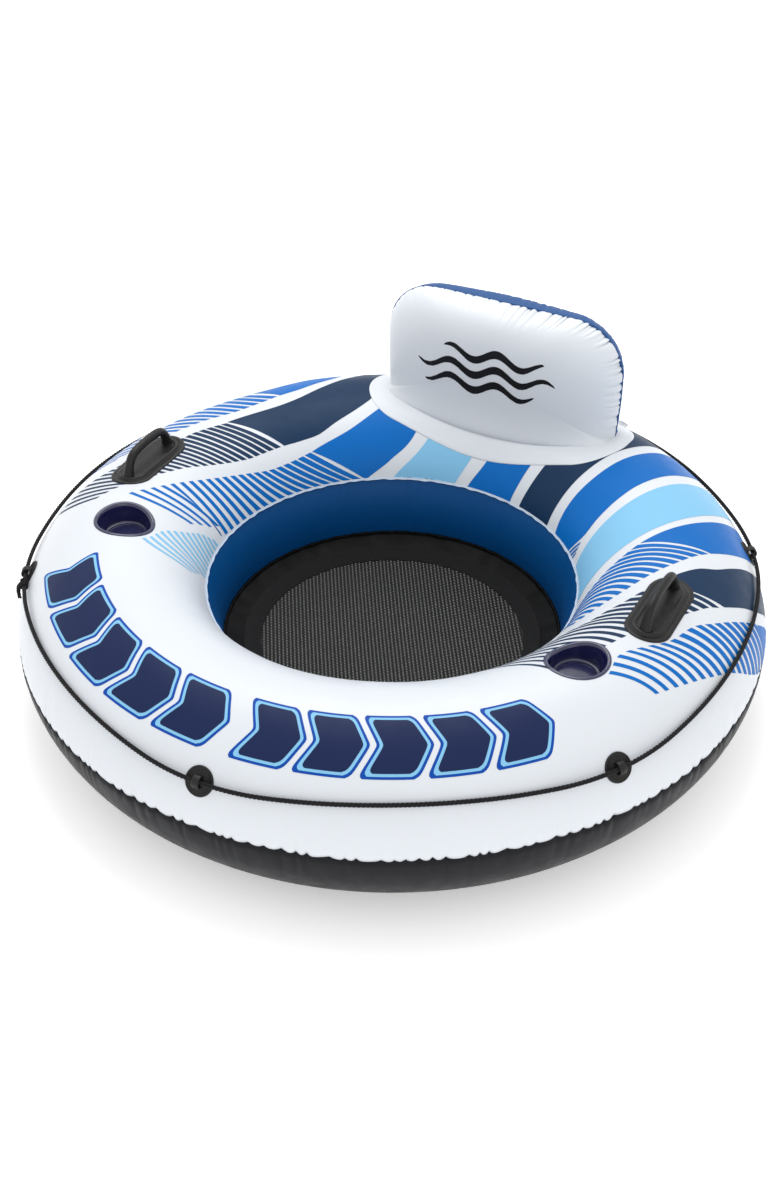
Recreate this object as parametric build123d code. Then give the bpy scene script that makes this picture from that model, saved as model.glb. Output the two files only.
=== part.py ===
from build123d import *
import math
import os

# Inflatable river tube: a ring with a mesh floor, a backrest, two cup holders, two handles
# and a grab rope.  Millimetres, +Z up, the front of the ring towards -Y, the backrest at +Y.
# The origin is on the ground, at the middle of the ring.

# Ring section, in the plane of radius and height
CREST_R = 499.4            # radius of the circle along the top of the ring
FOOT_R = 470.0             # the flat that touches the ground starts here and ends at CREST_R
UPPER_R = 176.3            # section radius of the upper sheet's outer side
UPPER_Z = 154.4            # height of that arc's centre
LOWER_R = 175.7            # section radius of the lower sheet's outer side
LOWER_Z = LOWER_R          # height of that arc's centre
INNER_TOP_R = 170.4        # section radius between the crest and the rim of the seat well
INNER_BOTTOM_R = 171.25    # section radius between the ground flat and the floor seam
RIM_ANGLE = 161.85         # where the upper inner arc ends, at the rim
FLOOR_SEAM_ANGLE = 202.7   # where the lower inner arc ends, at the floor seam
WALL_BULGE = 9.0           # how far the inner wall swells into the seat well
CREST_Z = UPPER_Z + UPPER_R
VINYL = 1.5                # thickness of every vinyl sheet
GAP = 0.05                 # between a welded patch and the sheet below it
WELD = 1.6                 # thickness of a weld fin
OUTER_FIN = 4.0            # how far the outer seam's fin stands out
RIM_FIN = 4.0              # how far the rim's fin stands into the well
FLOOR_FIN, FLOOR_WELD = 5.5, 3.0

# Mesh floor
FLOOR_R = 250.0            # reference radius of the floor's cone
FLOOR_Z = 81.4             # height of the cone there
FLOOR_SLOPE = 0.35
SKIRT_IN_R, SKIRT_OUT_R = 257.0, 309.0
BINDING_IN_R, BINDING_OUT_R = 244.0, 276.0
MESH_R = 256.0
MESH_SAG = 12.4
MESH = 2.0

# Cup holders
CUP_R, CUP_ANGLE = 480.0, 65.5
CUP_FLOOR_Z = CREST_Z - 36.0
CUP_FLOOR_RADIUS = 42.0
CUP_TOP_RADIUS = 50.5
CUP_TOP_Z = CREST_Z + 10.0
CUP_LIP_RADIUS = 55.0
CUP_LIP_OVERLAP = 2.0      # how far the lip reaches in over the cup's wall
CUP_HOLE_RADIUS = 50.0     # of the hole in the ring, covered by the lip
CUP_WALL = 2.0

# Handles
HANDLE_X, HANDLE_Y = 508.0, -14.0
HANDLE_LENGTH, HANDLE_WIDTH = 185.0, 80.0
HANDLE_PLINTH = 150.0, 46.0
HANDLE_FLANGE = 2.0
GRIP_FOOT, GRIP_SHOULDER, GRIP_HEIGHT, GRIP_RADIUS = 64.0, 48.0, 42.0, 8.0
GRIP_BEND = 24.0
GRIP_SINK = 10.0           # how far the grip's route starts below the crest

# Grab rope and its lugs
LUGS = 6
LUG_ANGLE = 32.0           # how far up the tube's section a lug sits
LUG_RADIUS, LUG_FLANGE = 25.0, 2.5
EYE_LENGTH, EYE_WIDTH, EYE_HEIGHT, EYE_CLEARANCE = 13.0, 22.0, 15.5, 0.5
EYE_ROUND = 8.8            # radius of the bridge's two long edges
ROPE_RADIUS = 4.0
ROPE_LUG_R, ROPE_LUG_Z = 656.0, 252.0    # where the rope runs through a lug
ROPE_STEP = 10.0           # degrees between two points of the route
ROPE_POINTS = (658.5, 252.0), (650.8, 257.5), (647.6, 262.0)   # 5, 15 and 25 degrees from a lug
ROPE_BEND = 400.0
KNOT_LUG, KNOT_OFFSET = -60.0, 3.4
KNOT_LENGTH, KNOT_RADIUS, KNOT_ROUND, KNOT_LIFT = 22.0, 9.0, 6.3, 0.2
TAIL_LENGTH, TAIL_OFFSET = 26.0, 4.0
TAIL_FORWARD_LEAN, TAIL_SIDE_LEAN = 36.0, 8.0

# Backrest, in its own frame: X to the right, Y to the back, Z up, origin on the hinge axis
BACK_Y, BACK_Z = 469.7, 387.7
BACK_REST_LEAN = 1.0
BACK_WIDTH = 487.0
BACK_TOP, BACK_BOTTOM = 168.0, -50.0
BACK_TOP_CORNER, BACK_BOTTOM_CORNER = 100.0, 55.0
BACK_FRONT_DEPTH, BACK_REAR_DEPTH = 60.0, 56.0
BACK_ROUND = 48.0
BACK_FIN = 4.0
FLANGE_Y, FLANGE_WIDTH, FLANGE_DEPTH, FLANGE_CORNER = 462.0, 545.0, 192.0, 85.0

# Valves, in their own frame: Z out of the sheet, origin on its outer face
VALVE_FLANGE_RADIUS, VALVE_FLANGE = 19.0, 1.6
STEM_RADIUS, STEM_BORE, STEM_TOP, STEM_BOTTOM = 8.0, 5.0, 8.0, -16.0
VALVE_HOLE_RADIUS = 8.4
PLUG_CAP_RADIUS, PLUG_CAP, PLUG_LIFT = 8.5, 2.2, 0.3
SPIGOT_LENGTH, SPIGOT_TOP_RADIUS, SPIGOT_TIP_RADIUS = 5.0, 4.6, 3.5
PLUG_HINGE_X, PLUG_HINGE_Z, KNUCKLE_RADIUS, STRAP_WIDTH, EAR_LENGTH = -12.0, 9.2, 1.2, 5.0, 9.0
FLAP_RADIUS, FLAP, FLAP_HINGE_X = 6.6, 1.0, -7.2
RING_VALVE_ANGLE, RING_VALVE_SECTION_ANGLE = 160.0, 45.0
BACK_VALVE_X, BACK_VALVE_Z = 120.0, 60.0

FAR = 1000.0               # larger than the whole part
NEAR_AXIS = 0.1            # inner radius of a block that reaches the middle of the ring


def on_arc(centre, radius, angle):
    """Point on a circle of the section plane, as (radius, height)."""
    turn = math.radians(angle)
    return centre[0] + radius * math.cos(turn), centre[1] + radius * math.sin(turn)


UPPER_CENTRE = (CREST_R, UPPER_Z)
INNER_TOP_CENTRE = (CREST_R, CREST_Z - INNER_TOP_R)
INNER_BOTTOM_CENTRE = (FOOT_R, INNER_BOTTOM_R)
RIM = on_arc(INNER_TOP_CENTRE, INNER_TOP_R, RIM_ANGLE)
FLOOR_SEAM = on_arc(INNER_BOTTOM_CENTRE, INNER_BOTTOM_R, FLOOR_SEAM_ANGLE)


def outer_seam(grow=0.0):
    """Where the upper and lower sheets meet, as (radius, height), on the ring grown by a distance."""
    upper, lower = UPPER_R + grow, LOWER_R + grow
    height = (upper ** 2 - lower ** 2 + LOWER_Z ** 2 - UPPER_Z ** 2) / (2 * (LOWER_Z - UPPER_Z))
    return CREST_R + math.sqrt(upper ** 2 - (height - UPPER_Z) ** 2), height


OUTER_SEAM = outer_seam()


def turned(profile):
    """Solid of revolution about Z from a face drawn with x as radius and y as height."""
    return revolve(Plane.XZ * profile, Axis.Z)


def around(radius, angle, z=0.0):
    """Place at an angle from the front (-Y) towards +X, with its own Y pointing outwards."""
    turn = math.radians(angle)
    return Pos(radius * math.sin(turn), -radius * math.cos(turn), z) * Rot(0, 0, angle + 180.0)


def ring_block(low_r, high_r, low_z, high_z):
    """Plain ring about Z with a rectangular section."""
    middle = Pos((low_r + high_r) / 2, (low_z + high_z) / 2)
    return turned(middle * Rectangle(high_r - low_r, high_z - low_z))


def ring_volume(grow):
    """The whole inflated ring, grown outwards by a distance."""
    rim = on_arc(INNER_TOP_CENTRE, INNER_TOP_R + grow, RIM_ANGLE)
    seam = on_arc(INNER_BOTTOM_CENTRE, INNER_BOTTOM_R + grow, FLOOR_SEAM_ANGLE)
    belly = ((RIM[0] + FLOOR_SEAM[0]) / 2 - WALL_BULGE - grow, (RIM[1] + FLOOR_SEAM[1]) / 2)
    outer_height = outer_seam(grow)[1]
    upper_start = math.degrees(math.asin((outer_height - UPPER_Z) / (UPPER_R + grow)))
    lower_end = math.degrees(math.asin((outer_height - LOWER_Z) / (LOWER_R + grow)))
    edges = [
        CenterArc(INNER_TOP_CENTRE, INNER_TOP_R + grow, 90, RIM_ANGLE - 90),
        CenterArc(UPPER_CENTRE, UPPER_R + grow, upper_start, 90 - upper_start),
        CenterArc((CREST_R, LOWER_Z), LOWER_R + grow, -90, 90 + lower_end),
        Line((FOOT_R, -grow), (CREST_R, -grow)),
        CenterArc(INNER_BOTTOM_CENTRE, INNER_BOTTOM_R + grow, FLOOR_SEAM_ANGLE, 270 - FLOOR_SEAM_ANGLE),
        ThreePointArc(seam, belly, rim),
    ]
    return turned(make_face(edges))


def skin_layer(low, high):
    """Layer that follows the ring between two distances outside its surface."""
    return ring_volume(high) - ring_volume(low)


def weld_fins():
    """The three welded seams of the ring: outer edge, rim of the well, and floor."""
    outer = ring_block(OUTER_SEAM[0] - 2 * VINYL, OUTER_SEAM[0] + OUTER_FIN,
                       OUTER_SEAM[1] - WELD / 2, OUTER_SEAM[1] + WELD / 2)
    rim = ring_block(RIM[0] - RIM_FIN, RIM[0] + 2 * VINYL, RIM[1] - WELD / 2, RIM[1] + WELD / 2)
    floor = ring_block(FLOOR_SEAM[0] - FLOOR_FIN, FLOOR_SEAM[0] + 2 * VINYL,
                       FLOOR_SEAM[1] - FLOOR_WELD / 2, FLOOR_SEAM[1] + FLOOR_WELD / 2)
    return outer, rim, floor


def floor_height(radius):
    return FLOOR_Z + (radius - FLOOR_R) * FLOOR_SLOPE


def floor_strip(low_r, high_r, lift, thickness):
    """Conical sheet of the floor, lifted off the reference cone."""
    low, high = floor_height(low_r) + lift, floor_height(high_r) + lift
    corners = [(low_r, low), (high_r, high), (high_r, high + thickness), (low_r, low + thickness)]
    return turned(make_face(Polyline(*corners, close=True)))


def floor_mesh():
    """Mesh panel: a shallow bowl whose edge lies on the cone, under the binding."""
    edge = floor_height(BINDING_IN_R)
    sphere_r = (BINDING_IN_R ** 2 + MESH_SAG ** 2) / (2 * MESH_SAG)
    spread = math.degrees(math.asin(BINDING_IN_R / sphere_r))
    centre = (0.0, edge - MESH_SAG + sphere_r)
    inner_edge = on_arc(centre, sphere_r - MESH, spread - 90)
    profile = [
        Line((0.0, centre[1] - sphere_r), (0.0, centre[1] - sphere_r + MESH)),
        CenterArc(centre, sphere_r, -90, spread),
        CenterArc(centre, sphere_r - MESH, -90, spread),
        Line((BINDING_IN_R, edge), (MESH_R, floor_height(MESH_R))),
        Line((MESH_R, floor_height(MESH_R)), (MESH_R, floor_height(MESH_R) + MESH)),
        Line((MESH_R, floor_height(MESH_R) + MESH), inner_edge),
    ]
    return turned(make_face(profile))


def cup_holder(place):
    """Moulded cup whose lip follows the ring and whose floor is flat."""
    taper = (CUP_TOP_RADIUS - CUP_FLOOR_RADIUS) / (CUP_TOP_Z - CUP_FLOOR_Z)
    inside = CUP_FLOOR_RADIUS - CUP_WALL
    corners = [
        (0.0, CUP_FLOOR_Z - CUP_WALL),
        (CUP_FLOOR_RADIUS - taper * CUP_WALL, CUP_FLOOR_Z - CUP_WALL),
        (CUP_TOP_RADIUS, CUP_TOP_Z),
        (CUP_TOP_RADIUS - CUP_WALL, CUP_TOP_Z),
        (inside, CUP_FLOOR_Z),
        (0.0, CUP_FLOOR_Z),
    ]
    cup = place * turned(make_face(Polyline(*corners, close=True)))
    lip = place * ring_block(
        CUP_TOP_RADIUS - CUP_WALL - CUP_LIP_OVERLAP, CUP_LIP_RADIUS, UPPER_Z, CUP_TOP_Z)
    return (cup & ring_volume(VINYL)) + (lip & skin_layer(GAP, VINYL))


def cup_cutter(place):
    return place * Pos(0, 0, CREST_Z) * Cylinder(CUP_HOLE_RADIUS, UPPER_R)


def handle(x):
    """Moulded handle: a flange that follows the ring, a plinth, and a raised grip."""
    middle = Pos(x, HANDLE_Y, UPPER_Z)
    flange = extrude(middle * SlotOverall(HANDLE_LENGTH, HANDLE_WIDTH, rotation=90), FAR)
    plinth = extrude(middle * SlotOverall(*HANDLE_PLINTH, rotation=90), FAR)
    top = CREST_Z + GRIP_HEIGHT
    route = FilletPolyline(
        (-GRIP_FOOT, CREST_Z - GRIP_SINK), (-GRIP_SHOULDER, top), (GRIP_SHOULDER, top),
        (GRIP_FOOT, CREST_Z - GRIP_SINK), radius=GRIP_BEND,
    )
    path = Plane((x, HANDLE_Y, 0), x_dir=(0, 1, 0), z_dir=(1, 0, 0)) * route
    section = Plane(path @ 0, z_dir=path % 0) * Circle(GRIP_RADIUS)
    grip = sweep(section, path=path) - ring_volume(GAP)
    return (flange & skin_layer(GAP, HANDLE_FLANGE)) + (plinth & skin_layer(GAP, 2 * HANDLE_FLANGE)) + grip


def rope_lug(angle):
    """Moulded lug: a round flange on the ring with a bridge over the rope."""
    foot = on_arc(UPPER_CENTRE, UPPER_R, LUG_ANGLE)
    place = around(foot[0], angle, foot[1]) * Rot(LUG_ANGLE - 90, 0, 0)
    flange = place * Cylinder(LUG_RADIUS, UPPER_R) & skin_layer(GAP, LUG_FLANGE)
    bridge = Pos(0, 0, EYE_HEIGHT) * Box(
        EYE_LENGTH, EYE_WIDTH, 2 * EYE_HEIGHT, align=(Align.CENTER, Align.CENTER, Align.MAX))
    bridge = fillet(bridge.edges().filter_by(Axis.X).group_by(Axis.Z)[-1], EYE_ROUND)
    bridge = place * bridge - ring_volume(GAP)
    tunnel = around(ROPE_LUG_R, angle, ROPE_LUG_Z) * Rot(0, 90, 0)
    return flange + bridge - tunnel * Cylinder(ROPE_RADIUS + EYE_CLEARANCE, 2 * LUG_RADIUS)


def grab_rope():
    """Closed loop of rope, lying on the ring and lifted a little through each lug."""
    points = []
    for lug in range(LUGS):
        middle = lug * 360.0 / LUGS
        for step in (-2.5, -1.5, -0.5, 0.5, 1.5, 2.5):
            radius, height = ROPE_POINTS[int(abs(step))]
            turn = math.radians(middle + step * ROPE_STEP)
            points.append((radius * math.sin(turn), -radius * math.cos(turn), height))
    path = FilletPolyline(*points, radius=ROPE_BEND, close=True)
    section = Plane(path @ 0, z_dir=path % 0) * Circle(ROPE_RADIUS)
    rope = sweep(section, path=path)
    print("rope length", round(path.length, 1), "volume share",
          round(rope.volume / (path.length * math.pi * ROPE_RADIUS ** 2), 4))
    return rope


def rope_knot():
    """Knot that joins the rope's two ends beside one lug, with the ends hanging out of it."""
    place = around(ROPE_LUG_R, KNOT_LUG + KNOT_OFFSET, ROPE_LUG_Z)
    knot = Cylinder(KNOT_RADIUS, KNOT_LENGTH, rotation=(0, 90, 0))
    knot = fillet(knot.edges(), KNOT_ROUND)
    tail_place = Pos(-TAIL_OFFSET, TAIL_OFFSET, 0) * Rot(TAIL_FORWARD_LEAN, TAIL_SIDE_LEAN, 0)
    tail = tail_place * Cylinder(
        ROPE_RADIUS, TAIL_LENGTH, align=(Align.CENTER, Align.CENTER, Align.MAX))
    return place * (knot + tail) - ring_volume(KNOT_LIFT)


def back_place():
    return Pos(0, BACK_Y, BACK_Z) * Rot(-BACK_REST_LEAN, 0, 0)


def back_outline(grow):
    """Outline of the backrest in its own XZ plane, facing the rear."""
    half = BACK_WIDTH / 2 + grow
    corners = [(-half, BACK_BOTTOM - grow), (half, BACK_BOTTOM - grow),
               (half, BACK_TOP + grow), (-half, BACK_TOP + grow)]
    radii = [BACK_BOTTOM_CORNER + grow] * 2 + [BACK_TOP_CORNER + grow] * 2
    face = make_face(Polyline(*corners, close=True))
    for corner, radius in zip(corners, radii):
        nearest = min(face.vertices(), key=lambda v: math.dist((v.X, v.Y), corner))
        face = fillet(nearest, radius)
    return face


def backrest_panel(depth, side):
    """One half of the backrest: a domed sheet, open towards the seam."""
    start = Plane((0, side * WELD / 2, 0), x_dir=(1, 0, 0), z_dir=(0, -1, 0))
    block = extrude(start * back_outline(0), -side * depth)
    far_face = block.faces().sort_by(Axis.Y)[-1 if side > 0 else 0]
    block = fillet(far_face.edges(), BACK_ROUND)
    seam_face = block.faces().sort_by(Axis.Y)[0 if side > 0 else -1]
    return offset(block, amount=-VINYL, openings=seam_face)


def backrest_seam():
    """Weld fin all round the backrest, between the two panels."""
    start = Plane((0, WELD / 2, 0), x_dir=(1, 0, 0), z_dir=(0, -1, 0))
    return extrude(start * (back_outline(BACK_FIN) - back_outline(-2 * VINYL)), WELD)


def backrest_flange():
    """Vinyl patch that follows the ring under the backrest."""
    outline = Pos(0, FLANGE_Y, UPPER_Z) * RectangleRounded(FLANGE_WIDTH, FLANGE_DEPTH, FLANGE_CORNER)
    return extrude(outline, FAR) & skin_layer(GAP, VINYL)


def ring_valve_place():
    foot = on_arc(UPPER_CENTRE, UPPER_R, RING_VALVE_SECTION_ANGLE)
    return around(foot[0], RING_VALVE_ANGLE, foot[1]) * Rot(RING_VALVE_SECTION_ANGLE - 90, 0, 0)


def back_valve_place():
    rear = BACK_REAR_DEPTH + WELD / 2
    return back_place() * Pos(BACK_VALVE_X, rear, BACK_VALVE_Z) * Rot(-90, 0, 0)


def valve_body(place, flange):
    """Stem with a through bore, welded to its flange, and an ear for the plug's strap."""
    height = STEM_TOP - STEM_BOTTOM
    stem = Pos(0, 0, STEM_BOTTOM) * Cylinder(
        STEM_RADIUS, height, align=(Align.CENTER, Align.CENTER, Align.MIN))
    ear_top = PLUG_HINGE_Z - KNUCKLE_RADIUS - PLUG_LIFT
    ear = Pos(PLUG_HINGE_X, 0, ear_top) * Box(
        EAR_LENGTH, STRAP_WIDTH, ear_top - GAP, align=(Align.CENTER, Align.CENTER, Align.MAX))
    return flange + place * (stem + ear) - place * Cylinder(STEM_BORE, FAR / 10)


def valve_plug(place):
    """Cap with a tapered spigot, and the knuckle of its strap."""
    under = STEM_TOP + PLUG_LIFT
    cap = Pos(0, 0, under) * Cylinder(
        PLUG_CAP_RADIUS, PLUG_CAP, align=(Align.CENTER, Align.CENTER, Align.MIN))
    spigot = Pos(0, 0, under) * Rot(180, 0, 0) * Cone(
        SPIGOT_TOP_RADIUS, SPIGOT_TIP_RADIUS, SPIGOT_LENGTH,
        align=(Align.CENTER, Align.CENTER, Align.MIN))
    knuckle = Pos(PLUG_HINGE_X, 0, PLUG_HINGE_Z) * Rot(90, 0, 0) * Cylinder(KNUCKLE_RADIUS, STRAP_WIDTH)
    strap = Pos(PLUG_HINGE_X / 2, 0, PLUG_HINGE_Z) * Box(-PLUG_HINGE_X, STRAP_WIDTH, VINYL)
    return place * (cap + spigot + strap + knuckle)


def valve_flap(place):
    """Rubber disc that closes the stem's lower end from inside."""
    return place * Pos(0, 0, STEM_BOTTOM - PLUG_LIFT) * Cylinder(
        FLAP_RADIUS, FLAP, align=(Align.CENTER, Align.CENTER, Align.MAX))


def ring_parts():
    outer_fin, rim_fin, floor_fin = weld_fins()
    shell = skin_layer(-VINYL, 0.0)
    above = ring_block(NEAR_AXIS, CREST_R, RIM[1], FAR / 2) + ring_block(CREST_R, FAR, OUTER_SEAM[1], FAR / 2)
    inside = ring_block(NEAR_AXIS, CREST_R - UPPER_R / 2, FLOOR_SEAM[1], RIM[1])
    top = (shell & above) - outer_fin - rim_fin
    for side in (-1, 1):
        top -= cup_cutter(around(CUP_R, side * CUP_ANGLE))
    top -= ring_valve_place() * Cylinder(VALVE_HOLE_RADIUS, UPPER_R / 2)
    wall = (shell & inside) - rim_fin - floor_fin
    bottom = shell - above - inside - outer_fin - floor_fin
    return {
        "ring_top_skin": top,
        "ring_inner_wall": wall,
        "ring_bottom_skin": bottom,
        "outer_weld_seam": outer_fin,
        "rim_weld_seam": rim_fin,
        "floor_weld_seam": floor_fin,
    }


def floor_parts():
    return {
        "floor_skirt": floor_strip(SKIRT_IN_R, SKIRT_OUT_R, 0.0, VINYL),
        "floor_binding": floor_strip(BINDING_IN_R, BINDING_OUT_R, MESH + 2 * GAP, VINYL),
        "floor_mesh": floor_mesh(),
    }


def fitting_parts():
    parts = {"grab_rope": grab_rope(), "rope_knot": rope_knot()}
    for side, name in ((-1, "left"), (1, "right")):
        parts[f"{name}_cup_holder"] = cup_holder(around(CUP_R, side * CUP_ANGLE))
        parts[f"{name}_handle"] = handle(side * HANDLE_X)
    for lug in range(LUGS):
        parts[f"rope_lug_{lug + 1}"] = rope_lug(lug * 360.0 / LUGS)
    return parts


def backrest_parts():
    hole = back_valve_place() * Cylinder(VALVE_HOLE_RADIUS, BACK_REAR_DEPTH)
    return {
        "backrest_front_panel": back_place() * backrest_panel(BACK_FRONT_DEPTH, -1),
        "backrest_back_panel": back_place() * backrest_panel(BACK_REAR_DEPTH, 1) - hole,
        "backrest_weld_seam": back_place() * backrest_seam(),
        "backrest_base_flange": backrest_flange(),
    }


def valve_parts():
    ring_place, back_valve = ring_valve_place(), back_valve_place()
    ring_flange = ring_place * Cylinder(VALVE_FLANGE_RADIUS, UPPER_R / 2) & skin_layer(GAP, VALVE_FLANGE)
    back_flange = back_valve * Pos(0, 0, GAP) * Cylinder(
        VALVE_FLANGE_RADIUS, VALVE_FLANGE, align=(Align.CENTER, Align.CENTER, Align.MIN))
    parts = {}
    for name, place, flange in (
        ("ring_valve", ring_place, ring_flange), ("backrest_valve", back_valve, back_flange),
    ):
        parts[f"{name}_body"] = valve_body(place, flange)
        parts[f"{name}_plug"] = valve_plug(place)
        parts[f"{name}_flap"] = valve_flap(place)
    return parts


def main():
    os.makedirs("parts", exist_ok=True)
    parts = {**ring_parts(), **floor_parts(), **fitting_parts(), **backrest_parts(), **valve_parts()}
    for name, shape in parts.items():
        export_step(shape, f"parts/{name}.step")
    for name, place in (("ring_valve", ring_valve_place()), ("backrest_valve", back_valve_place())):
        frame = Plane(place)
        print(name, "origin", frame.origin, "x", frame.x_dir, "normal", frame.z_dir)


main()
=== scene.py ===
import math

import bmesh
import bpy
import numpy as np
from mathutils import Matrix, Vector


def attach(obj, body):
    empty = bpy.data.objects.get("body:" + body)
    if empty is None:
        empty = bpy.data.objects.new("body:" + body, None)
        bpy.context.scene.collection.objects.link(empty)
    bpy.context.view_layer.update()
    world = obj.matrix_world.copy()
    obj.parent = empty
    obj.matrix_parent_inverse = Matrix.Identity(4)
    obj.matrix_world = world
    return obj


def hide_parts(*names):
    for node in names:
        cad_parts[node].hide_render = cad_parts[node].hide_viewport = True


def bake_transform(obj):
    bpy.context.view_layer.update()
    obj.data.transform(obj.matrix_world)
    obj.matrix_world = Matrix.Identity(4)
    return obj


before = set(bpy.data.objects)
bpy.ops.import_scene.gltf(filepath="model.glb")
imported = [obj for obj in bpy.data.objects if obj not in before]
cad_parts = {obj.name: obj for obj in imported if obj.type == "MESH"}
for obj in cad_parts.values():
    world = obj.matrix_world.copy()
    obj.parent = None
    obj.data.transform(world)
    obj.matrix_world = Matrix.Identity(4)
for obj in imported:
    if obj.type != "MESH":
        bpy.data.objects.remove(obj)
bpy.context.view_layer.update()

# The inflatable river tube in metres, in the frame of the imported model: +Z up, the front of the
# ring towards -Y, the backrest at +Y. Angles start at the front and grow towards +X. The sizes here
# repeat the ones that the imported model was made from.

# Ring section
CREST_R, FOOT_R, UPPER_R, LOWER_R = 0.4994, 0.470, 0.1763, 0.1757
UPPER_Z, LOWER_Z = 0.1544, LOWER_R
INNER_TOP_R, INNER_BOTTOM_R = 0.1704, 0.17125
RIM_ANGLE, FLOOR_SEAM_ANGLE = 161.85, 202.7
CREST_Z = UPPER_Z + UPPER_R
SEAM_Z = 0.170
UPPER_EDGE = math.degrees(math.asin((SEAM_Z - UPPER_Z) / UPPER_R))
LOWER_EDGE = math.degrees(math.asin((SEAM_Z - LOWER_Z) / LOWER_R))
WALL_BULGE = 0.009
OUTLINE_STEPS = 120

# Welded seams: how deep the sheets are pinched there and how far the folds run
SEAM_GROOVE, SEAM_GROOVE_REACH = 0.0026, 0.0055
PUCKER_COUNT, PUCKER_DEPTH, PUCKER_REACH = 176, 0.0030, 0.017
SCALLOP = 0.0034
SWELL = 0.0006
WALL_CREASE, WALL_FOLDS = 0.0007, 88
RIM_FOLDS, RIM_FOLD_DEPTH, RIM_FOLD_REACH = 96, 0.0007, 0.016
OUTER_FIN = 0.668, 0.6738
FIN_ROOT, RIM_FIN, FLOOR_FIN = 0.002, 0.0030, 0.0045
OUTER_FIN_THICK, RIM_FIN_THICK, FLOOR_FIN_THICK = 0.0012, 0.0011, 0.0018

# Print: how far it lies above the sheet, also near the outer weld, and the shares it stays between
PRINT_LIFT, PRINT_SEAM_LIFT, PRINT_SEAM_REACH = 0.00035, 0.0009, 0.02
PRINT_TOP, PRINT_BOTTOM = 0.006, 0.990
PATCH_STEPS, PATCH_ACROSS = 150, 40

# Floor
FLOOR_R, FLOOR_Z, FLOOR_SLOPE = 0.250, 0.0814, 0.35
SKIRT_IN_R, SKIRT_OUT_R = 0.257, 0.310
SKIRT_TOP, SKIRT_UNDER = 0.0015, 0.0003
BINDING_IN_R, BINDING_OUT_R = 0.244, 0.276
NET_R, NET_SAG = 0.256, 0.0124
NET_COLUMN, NET_ROW, NET_TURN = 0.0140, 0.0048, 31.0

# Fittings
CUP_R, CUP_ANGLE, CUP_LIP, CUP_MOUTH, CUP_FLOOR = 0.480, 65.5, 0.0545, 0.0480, 0.040
CUP_HOLE, CUP_FLOOR_Z, CUP_TOP_RISE = 0.0495, CREST_Z - 0.036, 0.006
HANDLE_X, HANDLE_Y, HANDLE_LENGTH, HANDLE_WIDTH = 0.508, -0.014, 0.185, 0.080
LUGS, LUG_ANGLE = 6, 32.0
ROPE_RADIUS, ROPE_STEP = 0.004, 10.0
ROPE_POINTS = (0.6585, 0.2520), (0.6508, 0.2575), (0.6476, 0.2620)
ROPE_LUG_R, ROPE_LUG_Z = 0.656, 0.252
KNOT_ANGLE = -56.6

# Backrest, in its own plane: x to the right, z up, the origin on the hinge axis
BACK_Y, BACK_Z, BACK_LEAN = 0.4697, 0.3877, 1.0
BACK_HALF, BACK_TOP, BACK_CORNER, BACK_SEAM_FOOT = 0.2445, 0.168, 0.1015, -0.059
BACK_FRONT, BACK_REAR = 0.064, 0.057
BACK_MIDDLE_Z = 0.048
BACK_PUCKERS = 58


# ---------------------------------------------------------------- plain helpers

def ripple(angle, counts, seed):
    """Irregular smooth wave around the ring, about -1 to 1, that closes on itself."""
    random = np.random.default_rng(seed)
    total = np.zeros_like(angle)
    for count in counts:
        total = total + random.uniform(0.6, 1.0) * np.cos(count * angle + random.uniform(0, 2 * math.pi))
    return total / math.sqrt(len(counts))


def pinches(angle, count, seed):
    """0 at each pucker's fold and 1 on the swelling between two folds."""
    wander = 1.5 * ripple(angle, (5, 13, 29, 43, 61), seed)
    return np.abs(np.sin(angle * count / 2 + wander)) ** 0.75


def full_circle(count, start=0.0):
    """Evenly spaced angles once round."""
    return np.linspace(start, start + 2 * math.pi, count, endpoint=False)


def around_axis(radius, angle, height):
    """Points at a radius, an angle and a height around the ring's axis."""
    return np.stack([radius * np.sin(angle), -radius * np.cos(angle), height], axis=-1)


def lengths_along(points):
    """Distance along a line from its first point to each one."""
    return np.concatenate([[0], np.cumsum(np.linalg.norm(np.diff(points, axis=0), axis=1))])


def evenly_spaced(points, count, closed=False):
    """Evenly spaced points of a line; on a closed one the first point isn't repeated."""
    length = lengths_along(points)
    places = np.linspace(0, length[-1], count, endpoint=not closed)
    return np.stack([np.interp(places, length, points[:, k]) for k in range(points.shape[1])], axis=1)


def smooth_curve(points, count):
    """Evenly spaced points of a smooth curve through the given ones."""
    points = np.asarray(points, float)
    padded = np.vstack([2 * points[0] - points[1], points, 2 * points[-1] - points[-2]])
    t = np.linspace(0, 1, 24, endpoint=False)[:, None]
    fine = []
    for i in range(len(points) - 1):
        a, b, c, d = padded[i:i + 4]
        fine.append(0.5 * (2 * b + (c - a) * t + (2 * a - 5 * b + 4 * c - d) * t ** 2
                           + (3 * b - a - 3 * c + d) * t ** 3))
    return evenly_spaced(np.vstack(fine + [points[-1:]]), count)


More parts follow.
